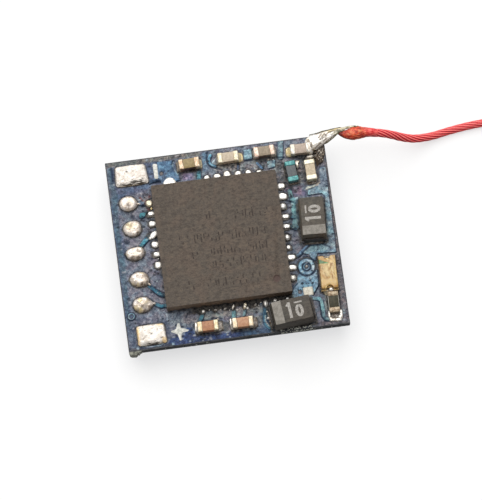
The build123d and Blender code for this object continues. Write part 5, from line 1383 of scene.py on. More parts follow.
def drop(x, y, rx, ry, turn, h, seed, stain_and_shade=0.0, gold=0.0, lump=0.02, steep=0.55, peak=(0, 0), flat=2.2, count=24, base=LAND + 0.008, rings=10, power=2.0):
    v, fc = blob((x, y), oval(rx, ry, turn, count, 0.14, seed, power), base, h, flat=flat, steep=steep, peak=peak, rings=rings, lump=lump, grain=7.0, seed=seed)
    shape.add(v, fc)
    share = np.clip((v[:, 2] - base) / h, 0, 1)
    # the lower part of each drop is darkened: painted shade at its foot
    stain_and_shade_values.extend(np.clip(stain_and_shade + 0.75 * (1 - smooth(0.0, 0.45, share)) * (value_noise(v, 6.0, seed + 5) > -0.2), 0, 1))
    golds.extend(np.full(len(v), gold))


for k, (x, y, rx, ry) in enumerate(right_spots):
    round_one = k in (2, 5, 9)
    if round_one:
        drop(x + 0.01, y, rx * 1.08, ry * 1.08, 0, 0.15, 100 + k, gold=0.15 if k == 9 else 0.0, lump=0.008, flat=3.6, steep=0.6, count=28, rings=12)
    else:
        drop(x + 0.015, y, rx * 1.12, ry * (1.12 if ry > 0.1 else 1.25), -4, 0.09, 100 + k, lump=0.008, flat=7.0, steep=0.5, count=32, rings=12, power=3.2)
for k, (x, y, rx, ry) in enumerate(top_spots):
    drop(x, y + 0.01, rx * 1.12, ry * 1.25, 4, 0.11 if k < 5 else 0.08, 150 + k, lump=0.010, flat=5.0, steep=0.5, peak=(0, 0.02), count=28, rings=12, power=2.4)
drop(-2.32, 3.23, 0.33, 0.33, 4, 0.14, 171, lump=0.012, flat=6.0, steep=0.5, count=36, rings=14)
for k, (x, y, rx, ry) in enumerate(left_spots):
    drop(x, y, rx * 1.14, ry * 1.18, 42 if k == 3 else 0, 0.09, 180 + k, gold=0.6 if k == 0 else 0.0, lump=0.010, flat=6.0, steep=0.5, stain_and_shade=0.15 if k == 0 else 0.0, count=28, rings=12, power=2.0 if k == 3 else 2.8)
drop(-3.57, 0.70, 0.12, 0.08, 42, 0.10, 191, flat=3.0)
drop(-3.345, 2.13, 0.075, 0.06, 0, 0.09, 193, gold=1.0, stain_and_shade=0.35)
drop(-3.33, -0.36, 0.040, 0.040, 0, 0.06, 192)
for k, (x, y, rx, ry) in enumerate(low_spots):
    slim = (1.1, 0.72, 0.80, 1.05, 0.95, 0.95)[k]
    drop(x, y, rx * slim, ry * (1.15 if k not in (1, 2) else 1.35), (4, -28, -16, 4, 10, 0)[k], 0.11, 200 + k, lump=0.035, gold=(0.0, 0.2, 0.55, 0.0, 0.0, 0.0)[k], flat=5.0, steep=0.5, rings=10)
drop(0.06, -3.33, 0.06, 0.075, 30, 0.08, 208)
drop(0.56, -3.31, 0.07, 0.08, 30, 0.08, 209)
# three small drops under the chip's front edge, darkened: partly flux, partly painted shade
for k, x in enumerate((-0.97, -0.50, 0.95)):
    drop(x, -3.20, 0.085, 0.050, 20 * k, 0.06, 215 + k, stain_and_shade=0.80, lump=0.03)
for k, (x, y) in enumerate([(-0.30, -3.30), (-0.72, -3.22), (0.20, -3.28), (1.10, -3.25), (1.22, -3.12), (-1.25, -3.16), (2.15, -3.16)]):
    drop(x, y, 0.035, 0.030, 0, 0.045, 225 + k, count=12, rings=5)
piece("chip_lead_solder", shape, solder_lead, ("transceiver_solder",), angle=80, floats={"stain_and_shade": stain_and_shade_values, "gold": golds})

# ================================================================ output pads
domes = [
    dict(centre=(-4.42, 2.51), height=0.215, flat=5.5, steep=0.55, peak=(0.02, 0.02), lump=0.03, dents=[(-4.44, 2.40, 0.20, 0.030)]),
    dict(centre=(-4.40, 1.26), height=0.210, flat=5.5, steep=0.50, peak=(0.03, -0.02), lump=0.06, dents=[(-4.50, 1.42, 0.13, 0.03)]),
    dict(centre=(-4.41, 0.03), height=0.225, flat=4.5, steep=0.55, peak=(-0.02, 0.06), lump=0.09, dents=[(-4.22, 0.12, 0.12, 0.035), (-4.50, -0.16, 0.12, 0.03)]),
    dict(centre=(-4.38, -1.24), height=0.230, flat=3.8, steep=0.6, peak=(-0.09, 0.12), lump=0.05, dents=[(-4.02, -1.15, 0.14, 0.04)]),
    dict(centre=(-4.35, -2.48), height=0.225, flat=4.0, steep=0.6, peak=(-0.04, 0.04), lump=0.11, dents=[(-4.42, -2.30, 0.10, 0.04), (-4.18, -2.62, 0.10, 0.04)]),
]
stain_and_shade_spots = [
    [(-4.43, 2.37, 0.17, 0.85), (-4.38, 2.29, 0.10, 0.75)],
    [(-4.58, 1.46, 0.10, 0.75), (-4.44, 1.36, 0.12, 0.85), (-4.38, 1.49, 0.07, 0.8), (-4.54, 1.24, 0.08, 0.7), (-4.30, 1.24, 0.06, 0.6), (-4.16, 0.97, 0.12, 0.9)],
    [(-4.56, -0.22, 0.15, 0.9), (-4.28, -0.24, 0.17, 0.95), (-4.04, -0.14, 0.10, 0.85), (-4.20, 0.10, 0.08, 0.6), (-4.50, 0.02, 0.06, 0.5)],
    [(-4.50, -1.54, 0.17, 1.0), (-4.22, -1.56, 0.20, 1.0), (-4.00, -1.44, 0.10, 0.9), (-3.95, -1.15, 0.12, 0.65)],
    [(-4.62, -2.74, 0.20, 0.8), (-4.32, -2.82, 0.20, 0.85), (-4.02, -2.66, 0.14, 0.75), (-4.40, -2.55, 0.10, 0.6), (-4.05, -2.28, 0.08, 0.7)],
]
gold_spots = [
    [(-4.10, 2.75, 0.10, 0.3)],
    [(-4.48, 1.40, 0.22, 0.50), (-4.40, 1.25, 0.15, 0.3)],
    [(-4.12, 0.32, 0.12, 0.5), (-4.80, 0.0, 0.1, 0.3)],
    [(-4.20, -0.92, 0.14, 0.7), (-4.70, -1.45, 0.12, 0.5), (-4.45, -1.50, 0.10, 0.6)],
    [(-4.45, -2.25, 0.16, 0.8), (-4.70, -2.60, 0.16, 0.8), (-4.20, -2.45, 0.12, 0.6), (-4.50, -2.75, 0.15, 0.9)],
]
for k in range(5):
    spec = domes[k]
    centre = spec.pop("centre")
    high = spec.pop("height")
    shape = Shape()
    v, fc = blob(centre, rim_of(output_outlines[k], centre, 56, 1), LAND + 0.004, high, rings=18, grain=3.2, seed=300 + k, **spec)
    shape.add(v, fc)
    if k == 0:
        v, fc = blob((-3.93, 2.452), oval(0.10, 0.045, -12, 16, 0.1, 3), LAND + 0.004, 0.06, rings=6)
        shape.add(v, fc)
    if k == 3:
        v, fc = blob((-3.93, -1.52), oval(0.12, 0.055, -46, 16, 0.1, 3), LAND + 0.004, 0.07, rings=6)
        shape.add(v, fc)
    if k == 4:
        v, fc = blob((-3.83, -2.485), oval(0.10, 0.05, -4, 16, 0.1, 3), LAND + 0.004, 0.07, rings=6)
        shape.add(v, fc)
    co = np.array(shape.verts)
    stain_and_shade = np.zeros(len(co))
    gold = np.zeros(len(co))
    # the stain spots sit mostly on each dome's front side: real stains, and painted shade there
    for sx, sy, r, amount in stain_and_shade_spots[k]:
        stain_and_shade = np.maximum(stain_and_shade, amount * smooth(r * 1.25, r * 0.35, np.hypot(co[:, 0] - sx, co[:, 1] - sy) + 0.04 * value_noise(co, 9.0, k)))
    for sx, sy, r, amount in gold_spots[k]:
        gold = np.maximum(gold, amount * smooth(r * 1.3, r * 0.3, np.hypot(co[:, 0] - sx, co[:, 1] - sy) + 0.05 * value_noise(co, 8.0, k + 9)))
    # the foot of each dome is darkened as painted shade
    rimmed = smooth(LAND + 0.07, LAND + 0.01, co[:, 2])
    stain_and_shade = np.maximum(stain_and_shade, 0.80 * rimmed * smooth(-0.6, 0.1, value_noise(co, 2.5, k + 40)))
    piece(f"output_pad_{k + 1}_solder", shape, solder_dome, (f"output_pad_{k + 1}",), angle=80, floats={"stain_and_shade": stain_and_shade, "gold": gold})

# ================================================================ battery pads
for name, (outline, centre) in battery_outlines.items():
    v, fc = blob(centre, rim_of(outline, centre, 96, 0), LAND + 0.002, 0.085, flat=14.0, steep=0.5, rings=26, lump=0.0, seed=350)
    v = np.array(v)
    top_part = v[:, 2] > LAND + 0.05
    v[top_part, 2] += 0.010 * fractal(v[top_part], 2.4, 351) + 0.004 * value_noise(v[top_part], 9.0, 352)
    d_low = v[:, 1] - (3.40 if name == "negative" else -4.46)
    v[:, 2] -= np.where(top_part, 0.030 * smooth(0.22, 0.0, d_low), 0.0)
    shape = Shape().add(v, fc)
    co = np.array(shape.verts)
    x, y = co[:, 0], co[:, 1]
    q = value_noise(co, 7.0, 353) * 0.06
    if name == "negative":
        band = smooth(0.20, 0.08, y - 3.385 - 0.10 * smooth(-4.3, -3.9, x) * smooth(-3.4, -3.7, x) + q)
        stain_and_shade = band * smooth(-4.78, -4.55, x) * smooth(-3.36, -3.55, x)
        upper = smooth(0.40, 0.20, y - 3.385 + q) * smooth(-4.40, -4.05, x) * smooth(-3.42, -3.60, x)
        stain_and_shade = np.maximum(stain_and_shade, 0.95 * upper)
        stain_and_shade = np.maximum(stain_and_shade, 0.8 * smooth(0.07, 0.03, np.hypot(x + 4.30, y - 4.10)))
        gold = 0.35 * smooth(0.05, 0.0, y - 3.38)
    else:
        band = smooth(0.15, 0.04, y + 4.462 + q)
        stain_and_shade = band * smooth(-4.60, -4.35, x) * smooth(-3.44, -3.6, x)
        stain_and_shade = np.maximum(stain_and_shade, 0.9 * smooth(0.07, 0.03, np.hypot(x + 4.12, y + 3.93)))
        stain_and_shade = np.maximum(stain_and_shade, 0.7 * smooth(0.05, 0.02, np.hypot(x + 4.32, y + 3.90)))
        stain_and_shade = np.maximum(stain_and_shade, 0.8 * smooth(0.10, 0.04, np.hypot(x + 3.66, y + 4.17) + q))
        gold = np.maximum(0.95 * smooth(0.16, 0.06, x + 4.825 + q), 0.95 * smooth(0.20, 0.08, np.hypot(x + 3.52, y + 4.32) + q))
        gold = np.maximum(gold, 0.85 * smooth(0.11, 0.04, np.hypot((x + 3.62) * 0.4, y + 3.52) + q))
    piece(f"battery_pad_{name}_tin", shape, pad_tin, (f"battery_pad_{name}",), angle=70, floats={"stain_and_shade": stain_and_shade, "gold": gold})

v, fc = blob((3.54, -2.88), rim_of([(3.30, -2.68), (3.50, -2.665), (3.77, -2.67), (3.79, -2.85), (3.78, -3.09), (3.56, -3.10), (3.31, -3.09), (3.29, -2.88)], (3.54, -2.88), 48, 0), LAND + 0.002, 0.04, flat=9.0, steep=0.5, rings=14, lump=0.012, grain=6.0, seed=360)
co = np.array(v)
piece("test_pad_tin", Shape().add(v, fc), pale_tin, ("tinned_test_pad",), angle=70)

# ================================================================ solder of the small parts
shape, stain_and_shade_values, golds = Shape(), [], []


def fillet(x, y, turn, width, reach, rise, seed, stain_and_shade=0.0, gold=0.0, back=0.05, sag=1.7):
    """A concave wedge of solder between a terminal and its land; it starts inside the terminal."""
    c, s = cos(radians(turn)), sin(radians(turn))
    nu, nv = 11, 13
    v = []
    for i in range(nu):
        u = i / (nu - 1)
        along = -back + (reach + back) * u
        for j in range(nv):
            w = -1 + 2 * j / (nv - 1)
            half = width / 2 * (1 - 0.22 * u ** 2)
            out = along * (1 - 0.20 * abs(w) ** 3) if along > 0 else along
            h = rise * max(0.0, 1 - max(0.0, along) / reach) ** sag * (1 - 0.55 * abs(w) ** 4) + 0.018 * (1 - abs(w) ** 6)
            if i == nu - 1 or j in (0, nv - 1):
                h = 0.0
            v.append((x + out * c - w * half * s, y + out * s + w * half * c, LAND + 0.004 + h))
    v = np.array(v)
    inner = v[:, 2] > LAND + 0.006
    v[inner, 2] += 0.012 * value_noise(v[inner], 8.0, seed)
    faces = []
    for i in range(nu - 1):
        for j in range(nv - 1):
            a = i * nv + j
            faces.append((a, a + nv, a + nv + 1, a + 1))
    edge = [j for j in range(nv)] + [i * nv + nv - 1 for i in range(1, nu)] + [(nu - 1) * nv + j for j in range(nv - 2, -1, -1)] + [i * nv for i in range(nu - 2, 0, -1)]
    low = v[edge].copy()
    low[:, 2] = LAND - 0.01
    n, m = len(v), len(edge)
    faces += [(edge[i], edge[(i + 1) % m], n + (i + 1) % m, n + i) for i in range(m)]
    faces.append(tuple(n + i for i in range(m)))
    v = np.vstack([v, low])
    shape.add(v, faces)
    stain_and_shade_values.extend(np.clip(np.full(len(v), stain_and_shade) + 0.4 * smooth(0.25, 0.6, value_noise(v, 6.0, seed + 3)), 0, 1))
    golds.extend(np.full(len(v), gold))


looks = {  # reach, rise, stain, gold for the end at turn, then for the other end
    "capacitor_1": ((0.13, 0.14, 0.55, 0.75), (0.09, 0.14, 0.9, 0.1)), "capacitor_2": ((0.24, 0.10, 0.15, 0.95), (0.06, 0.16, 0.7, 0.1)),
    "capacitor_3": ((0.08, 0.14, 0.6, 0.2), (0.05, 0.14, 0.5, 0.2)), "capacitor_4": ((0.0, 0.0, 0, 0), (0.24, 0.10, 0.15, 0.95)),
    "capacitor_5": ((0.12, 0.22, 0.1, 0.1), (0.12, 0.06, 1.0, 0.0)), "capacitor_6": ((0.22, 0.05, 0.85, 0.0), (0.07, 0.16, 0.1, 0.0)),
    "capacitor_7": ((0.20, 0.05, 0.95, 0.0), (0.11, 0.10, 0.35, 0.0)), "inductor": ((0.05, 0.10, 0.6, 0.0), (0.08, 0.06, 1.0, 0.0)),
}
for k, (name, (x, y, turn)) in enumerate(ceramic_parts.items()):
    for end, (reach, rise, stain_and_shade, gold) in zip((0, 180), looks[name]):
        if reach:
            c, s = cos(radians(turn + end)), sin(radians(turn + end))
            fillet(x + 0.5 * c, y + 0.5 * s, turn + end, 0.50, reach, rise, 400 + 2 * k + end // 180, stain_and_shade, gold)
# the tantalums' fillets are fully darkened: painted shade at the ends of the parts
for k, (x, y, turn) in enumerate(tantalum_parts.values()):
    for end in (0, 180):
        c, s = cos(radians(turn + end)), sin(radians(turn + end))
        fillet(x + 1.05 * c, y + 1.05 * s, turn + end, 0.84, 0.07, 0.12, 430 + k + end, 1.0, 0.0, back=0.04)
c, s = cos(radians(88.4)), sin(radians(88.4))
fillet(4.59 + 0.85 * c, -2.18 + 0.85 * s, 88.4, 0.50, 0.04, 0.04, 440, 0.9)
fillet(4.59 - 0.84 * c, -2.18 - 0.84 * s, 268.4, 0.66, 0.20, 0.10, 441, 0.25, 0.6)
# the resistor's lower land: bright solder in a U round a dark hollow
for bx, by, rx, ry, h in ((4.375, -4.17, 0.060, 0.21, 0.10), (4.935, -4.20, 0.080, 0.24, 0.12), (4.52, -4.425, 0.17, 0.075, 0.11), (4.76, -4.445, 0.19, 0.085, 0.12), (4.88, -4.33, 0.11, 0.11, 0.12), (4.42, -4.36, 0.08, 0.09, 0.10)):
    v, fc = blob((bx, by), oval(rx, ry, -4, 26, 0.10, int(50 + 90 * rx), 2.6), LAND + 0.004, h, flat=4.0, steep=0.5, rings=10, lump=0.015, grain=7, seed=450)
    shape.add(v, fc)
    stain_and_shade_values.extend(np.zeros(len(v)))
    golds.extend(np.zeros(len(v)))
# the hollow's dark is a low drop, fully darkened as painted shade
v, fc = blob((4.645, -4.22), oval(0.20, 0.14, 0, 22, 0.1, 9), LAND + 0.004, 0.03, rings=6)
shape.add(v, fc)
stain_and_shade_values.extend(np.ones(len(v)))
golds.extend(np.zeros(len(v)))
# pale strips of solder along the left ends of the two front capacitors
for bx, by, rx, ry in ((-1.995, -3.88, 0.055, 0.24), (-0.325, -3.875, 0.050, 0.19)):
    v, fc = blob((bx, by), oval(rx, ry, -6, 26, 0.14, int(80 + 90 * rx), 3.0), LAND + 0.004, 0.06, flat=5.0, steep=0.5, rings=10, lump=0.012, grain=7, seed=455)
    shape.add(v, fc)
    stain_and_shade_values.extend(0.35 * smooth(-0.1, 0.5, value_noise(v, 7.0, 58)))
    golds.extend(np.zeros(len(v)))
# solder in the lamp's half-round end, and the curl and the white bead beside the upright capacitor
for centre, corners, h, gold, seed in (
        ((4.615, -3.00), [(4.48, -3.08), (4.62, -3.12), (4.76, -3.08), (4.77, -2.94), (4.62, -2.86), (4.47, -2.93)], 0.40, 0.15, 471),
        ((4.53, 3.645), [(4.34, 3.60), (4.36, 3.71), (4.52, 3.725), (4.70, 3.70), (4.73, 3.62), (4.62, 3.565), (4.44, 3.57)], 0.20, 0.0, 472),
        ((3.865, 3.40), [(3.78, 3.46), (3.80, 3.55), (3.90, 3.585), (4.04, 3.56), (4.03, 3.47), (3.95, 3.44), (3.94, 3.30), (3.91, 3.15), (3.83, 3.13), (3.79, 3.28)], 0.12, 0.30, 473)):
    v, fc = blob(centre, rim_of(corners, centre, 40, 1), LAND + 0.004, h, flat=4.0, steep=0.5, rings=14, lump=0.03, grain=7.0, seed=seed)
    shape.add(v, fc)
    # their feet are darkened as painted shade
    stain_and_shade_values.extend(0.5 * smooth(LAND + 0.05, LAND + 0.01, v[:, 2]))
    golds.extend(gold * smooth(-0.3, 0.3, value_noise(v, 7.0, seed)))
# small bright dots of solder beside the parts
for k, (x, y, r) in enumerate([(2.528, 3.80, 0.06), (2.763, 3.765, 0.05), (1.455, -3.600, 0.058), (1.475, -3.930, 0.088), (-0.905, -3.66, 0.06), (3.62, 3.56, 0.045), (3.635, -1.66, 0.055), (1.80, -3.36, 0.035), (4.15, 2.10, 0.05)]):
    v, fc = blob((x, y), oval(r, r * 0.85, 0, 16, 0.15, k), LAND + 0.004, r * 1.1, rings=6)
    shape.add(v, fc)
    stain_and_shade_values.extend(np.zeros(len(v)))
    golds.extend(np.zeros(len(v)))
piece("small_part_solder", shape, solder_bright, ("solder_joints",), angle=80, floats={"stain_and_shade": stain_and_shade_values, "gold": golds})

# ================================================================ small ceramic parts
for k, (name, (x, y, turn)) in enumerate(ceramic_parts.items()):
    c, s = cos(radians(turn)), sin(radians(turn))
    shape, seams, feet = Shape(), [], []
    for end in (-1, 1):
        v, fc = soft_box((x + end * 0.38 * c, y + end * 0.38 * s, SEAT + 0.251), (0.25, 0.512, 0.508), turn, radius=0.062, steps=4, across=9)
        local = (v[:, 0] - x) * c + (v[:, 1] - y) * s
        cross = -(v[:, 0] - x) * s + (v[:, 1] - y) * c
        inward = np.abs(local) < 0.30
        shift = 0.030 * value_noise(np.stack([cross * 1.0, v[:, 2], np.full(len(v), 3.1 * k + end)], 1), 6.0, 500 + k)
        v[inward, 0] += (shift * c * end)[inward]
        v[inward, 1] += (shift * s * end)[inward]
        v += (0.006 * value_noise(v, 7.0, 510 + k))[:, None] * 0.5
        v[:, 2] = np.maximum(v[:, 2], SEAT - 0.004)
        shape.add(v, fc)
        edges = np.maximum(0.8 * smooth(0.478, 0.502, np.abs(local)), 0.75 * smooth(0.225, 0.250, np.abs(cross)))
        seams.extend(np.maximum(smooth(0.300, 0.268, np.abs(local)), edges * smooth(-0.4, 0.4, value_noise(v, 5.0, 520 + k))))
        feet.extend(0.9 * smooth(SEAT + 0.26, SEAT + 0.05, v[:, 2]) * smooth(-0.5, 0.1, value_noise(v, 4.0, 530 + k)))
    piece(f"{name}_ends", shape, ends[name], (f"{name}_terminals",), angle=60, floats={"seam": seams, "foot": feet})


# ================================================================ finishes of the CAD pieces that stay
def dress(node, material, bevel=0.0, segments=2):
    o = nodes[node]
    if o.material_slots:
        for s in o.material_slots:
            s.material = material
    else:
        o.data.materials.append(material)
    if bevel:
        weld = o.modifiers.new("weld", "WELD")
        weld.merge_threshold = 1e-6
        b = o.modifiers.new("bevel", "BEVEL")
        b.width = bevel * MM
        b.segments = segments
        b.limit_method = "ANGLE"
        b.angle_limit = radians(35)
        b.use_clamp_overlap = True
        b.harden_normals = False
        w = o.modifiers.new("normals", "WEIGHTED_NORMAL")
        w.keep_sharp = False


dress("circuit_board", laminate)
dress("via_barrels", via_copper)
dress("transceiver_body", mould_dark, 0.022)
dress("transceiver_leads", land_tin)
dress("transceiver_centre_pad", tin)
for name in ceramic_parts:
    dress(f"{name}_body", ceramics[name], 0.030, 3)
dress("tantalum_1_body", tantalum_1_mould, 0.035, 3)
dress("tantalum_2_body", tantalum_2_mould, 0.035, 3)
dress("tantalum_1_terminals", near_black_tin, 0.02)
dress("tantalum_2_terminals", near_black_tin, 0.02)
dress("led_terminals", gold_plate, 0.015)
dress("led_carrier", carrier_cream, 0.01)
dress("resistor_body", resistor_white, 0.012)
dress("resistor_coating", resistor_coat, 0.012)
dress("resistor_terminals", end_bronze, 0.02)
dress("controller_body", mould_under, 0.03)
dress("controller_leads", tin)
dress("crystal_tray", ceramic_under, 0.02)
dress("crystal_lid", crystal_metal)
dress("regulator_body", mould_under, 0.02)
dress("regulator_leads", tin, 0.015)
dress("under_capacitor_bodies", ceramic_under, 0.025)
dress("under_capacitor_terminals", tin, 0.035)
dress("copper_bottom", under_copper, 0.01)
dress("under_solder", solder_plain, 0.015)

# ================================================================ amber lamp
led_x, led_y, led_turn = 4.59, -2.18, 88.4
lens_low, lens_high = SEAT + 0.22, SEAT + 0.56
half, w = 0.82, 0.425
outline = []
for sign in (1, -1):
    outline += [(sign * (half - 0.02), -sign * (w - 0.0)), (sign * half, -sign * (w - 0.03))]
    outline += [(sign * half, -sign * 0.20)]
    outline += [(sign * (0.85 - 0.19 * cos(radians(a))), -sign * 0.19 * sin(radians(a)) * 1.0) for a in (72, 48, 24, 0, -24, -48, -72)]
    outline += [(sign * half, sign * 0.20), (sign * half, sign * (w - 0.03)), (sign * (half - 0.02), sign * w)]
    outline += [(sign * f_, sign * w) for f_ in (0.55, 0.28, 0.0)]
pts = np.array(outline)
loops = []
for inset, z in ((0.000, lens_low), (0.006, lens_low + 0.10), (0.014, lens_low + 0.22), (0.022, lens_high - 0.035), (0.032, lens_high - 0.012), (0.055, lens_high), (0.16, lens_high + 0.004), (0.30, lens_high + 0.006)):
    ring = pts * np.array([1 - inset / half, 1 - inset / w])
    loops.append(np.column_stack([ring, np.full(len(ring), z)]))
count = len(outline)
v = np.vstack(loops + [[[0, 0, lens_high + 0.006]], [[0, 0, lens_low]]])
faces = bridge((len(loops), count))
last = (len(loops) - 1) * count
faces += [(last + i, last + (i + 1) % count, len(v) - 2) for i in range(count)]
faces += [((i + 1) % count, i, len(v) - 1) for i in range(count)]
c, s = cos(radians(led_turn)), sin(radians(led_turn))
v = np.stack([led_x + v[:, 0] * c - v[:, 1] * s, led_y + v[:, 0] * s + v[:, 1] * c, v[:, 2]], 1)
piece("lamp_lens", Shape().add(v, faces), amber_resin, ("led_lens",), angle=50)

# what shows through the resin: plated lands, die, bond wire and the mark at one end
shape = Shape()


def local(u, t):
    return led_x + u * c - t * s, led_y + u * s + t * c


for u, length, width in ((0.50, 0.46, 0.70), (-0.52, 0.42, 0.70), (0.14, 0.36, 0.34)):
    lx, ly = local(u, 0)
    vv, ff = plate(placed(rounded(length, width, 0.05), lx, ly, led_turn), lens_low + 0.001, lens_low + 0.018, 0.006)
    shape.add(vv, ff)
arc = catmull([(*local(0.10, 0.0), lens_low + 0.145), (*local(0.02, 0.01), lens_low + 0.235), (*local(-0.16, 0.03), lens_low + 0.20), (*local(-0.36, 0.05), lens_low + 0.03)], 8)
vv, ff, _ = tube(arc, 0.014, segments=10)
shape.add(vv, ff)
piece("lamp_plating", shape, gold_plate, angle=50)
vv, ff = soft_box((*local(0.10, 0.0), lens_low + 0.085), (0.26, 0.26, 0.12), led_turn, radius=0.012, steps=2, across=2)
piece("lamp_die", Shape().add(vv, ff), near_black_tin, angle=40)
tri = [local(0.56, 0.40), local(0.36, 0.40), local(0.34, 0.24), local(0.40, 0.06), local(0.47, 0.20)]
vv, ff = plate(tri, lens_low + 0.018, lens_low + 0.20, 0.01)
piece("lamp_green_mark", Shape().add(vv, ff), green_mark, angle=40)


# ================================================================ printed marks on the mouldings
def strokes(target, lines, x, y, turn, z, wide, thick=0.007):
    """Flat strokes along lines given in the part's own directions."""
    for pts in lines:
        q = catmull([(u, t, 0) for u, t in pts], 6) if len(pts) > 2 else np.array([(u, t, 0) for u, t in pts], float)
        ahead = np.gradient(q, axis=0)
        ahead /= np.linalg.norm(ahead, axis=1)[:, None]
        side = np.stack([-ahead[:, 1], ahead[:, 0]], 1) * wide / 2
        left, right_ = q[:, :2] + side, q[:, :2] - side
        n = len(q)
        rows = []
        for flank, level in ((left, z - 0.01), (left, z + thick), (right_, z + thick), (right_, z - 0.01)):
            co = placed(flank.tolist(), x, y, turn)
            rows.append([(a, b, level) for a, b in co])
        v = [p for row in rows for p in row]
        faces = []
        for r in range(4):
            r2 = (r + 1) % 4
            for i in range(n - 1):
                faces.append((r * n + i, r2 * n + i, r2 * n + i + 1, r * n + i + 1))
        faces.append((0, 3 * n, 2 * n, n))
        faces.append((n - 1, 2 * n - 1, 3 * n - 1, 4 * n - 1))
        target.add(v, [fc[::-1] for fc in faces])


zero = [(0.125 * cos(radians(a)), 0.235 * sin(radians(a)) - 0.10) for a in range(90, 451, 30)]
numeral = {
    "1": [[(0.005, 0.38), (0.005, -0.38)]],
    "0": [zero],
}
for name, (x, y, turn) in tantalum_parts.items():
    shape = Shape()
    top = SEAT + 0.09 + 1.12
    for digit, u in (("1", -0.12), ("0", 0.33)):
        lines = [[(u + a, b) for a, b in pts] for pts in numeral[digit]]
        strokes(shape, lines, x, y, turn, top, 0.135)
    strokes(shape, [[(-0.245, 0.20), (-0.13, 0.34)]], x, y, turn, top, 0.10, 0.0095)
    strokes(shape, [[(0.14, 0.31), (0.52, 0.31)]], x, y, turn, top, 0.075)
    piece(f"{name}_value_mark", shape, mark_ink, angle=40)

# faint rows of plain strokes across the chip
shape = Shape()
rng = np.random.default_rng(7)
forms = [
    [[(0.02, -0.2), (0, 0.2)]], [[(0, -0.2), (0, 0.2)], [(0.14, -0.2), (0.14, 0.02)]], [[(0, 0.0), (0, 0.2)], [(0.14, -0.2), (0.15, 0.2)]],
    [[(0.03, -0.2), (0.02, -0.03)]], [[(0, 0.05), (0, 0.2)], [(0.14, -0.2), (0.13, -0.04)]], [[(0.01, -0.12), (0.01, 0.12)], [(0.15, -0.17), (0.14, 0.17)]],
    [[(0, 0.1), (0.09, 0.1)], [(0.15, -0.2), (0.15, -0.02)]], [[(0, -0.2), (0, -0.05)], [(0.12, 0.02), (0.12, 0.2)]],
]
for y, x0, x1, tall in ((1.14, 0.56, 1.95, 1.15), (1.27, -0.80, -0.35, 0.9), (0.18, -2.22, 1.85, 1.0), (-0.52, -0.80, 1.95, 0.95), (-1.16, -0.80, 1.85, 1.0), (-0.62, -1.70, -1.2, 0.8), (-2.04, -2.20, -1.65, 1.1), (-2.06, -1.15, 1.55, 1.05)):
    x = x0
    while x < x1:
        form = forms[int(rng.integers(0, len(forms)))]
        flip = -1 if rng.random() < 0.5 else 1
        lines = [[(x + u, y + flip * t * tall) for u, t in pts] for pts in form]
        strokes(shape, lines, 0, 0, 0, SEAT + 0.85, 0.056, 0.004)
        x += 0.31 + 0.06 * rng.random() + (-0.12 if form is forms[0] else 0.0)
piece("chip_marks", shape, laser_mark, angle=40)

# ================================================================ broken laminate at the tab and along the front edge
shape = Shape()
rng = np.random.default_rng(11)
for k in range(26):
    x = -5.27 + 0.60 * rng.random()
    y = -4.66 - 0.13 * rng.random() * smooth(-4.66, -4.95, x)
    z = 1.02 + 0.50 * rng.random()
    reach = 0.05 + 0.09 * rng.random()
    a = radians(-90 + 50 * (rng.random() - 0.5))
    pts = [(x, y, z), (x + reach * 0.5 * cos(a), y + reach * 0.5 * sin(a), z + 0.01), (x + reach * cos(a), y + reach * sin(a) * 0.9, z + 0.03 * (rng.random() - 0.5))]
    v, fc, _ = tube(catmull(pts, 4), np.linspace(0.030, 0.012, 9), segments=8)
    v[:, 1] = np.maximum(v[:, 1], -4.90)
    shape.add(v, fc)
piece("tab_stub_fibres", shape, glass_fibre, angle=60)
shape = Shape()
for k in range(88):
    x = 1.95 + 1.65 * rng.random() if k < 72 else -4.4 + 9.0 * rng.random()
    z = 1.24 + 0.30 * rng.random()
    size = (0.020 + 0.036 * rng.random() ** 2) * (1.0 if k < 72 else 0.6)
    on_top = k % 2 == 0 and k < 72
    v, fc = soft_box((x, -4.63 + 0.13 * rng.random(), 1.580) if on_top else (x, -4.690, z), (size * 2.2, 0.045, size * 1.5), 0, radius=0.010, steps=1, across=2)
    v += 0.008 * value_noise(v, 20.0, k)[:, None]
    shape.add(v, fc)
piece("front_edge_chips", shape, glass_fibre, angle=60)
# the snapped lower half of the front edge stands out a little, raggedly
along_edge = np.linspace(-4.62, 5.20, 260)
q = np.stack([along_edge, np.zeros(260), np.zeros(260)], 1)
out = 0.034 + 0.016 * value_noise(q, 5.0, 501) + 0.010 * value_noise(q, 14.0, 502)
high = 1.44 + 0.05 * value_noise(q, 3.0, 503) + 0.03 * value_noise(q, 11.0, 504)
out[0] = out[-1] = 0.004
rows = [np.stack([along_edge, np.full(260, -4.63), high], 1), np.stack([along_edge, -4.65 - out * 0.75, high - 0.03], 1),
        np.stack([along_edge, -4.65 - out, np.full(260, 1.22)], 1), np.stack([along_edge, -4.65 - out * 0.7, np.full(260, 1.03)], 1),
        np.stack([along_edge, np.full(260, -4.63), np.full(260, 1.02)], 1)]
n, m = 260, len(rows)
faces = [((r * n + i), (r * n + i + 1), ((r + 1) % m * n + i + 1), ((r + 1) % m * n + i)) for r in range(m) for i in range(n - 1)]
faces += [tuple(r * n for r in range(m)), tuple(r * n + n - 1 for r in range(m - 1, -1, -1))]
piece("front_edge_break", Shape().add(np.vstack(rows), [fc[::-1] for fc in faces]), laminate, angle=50)

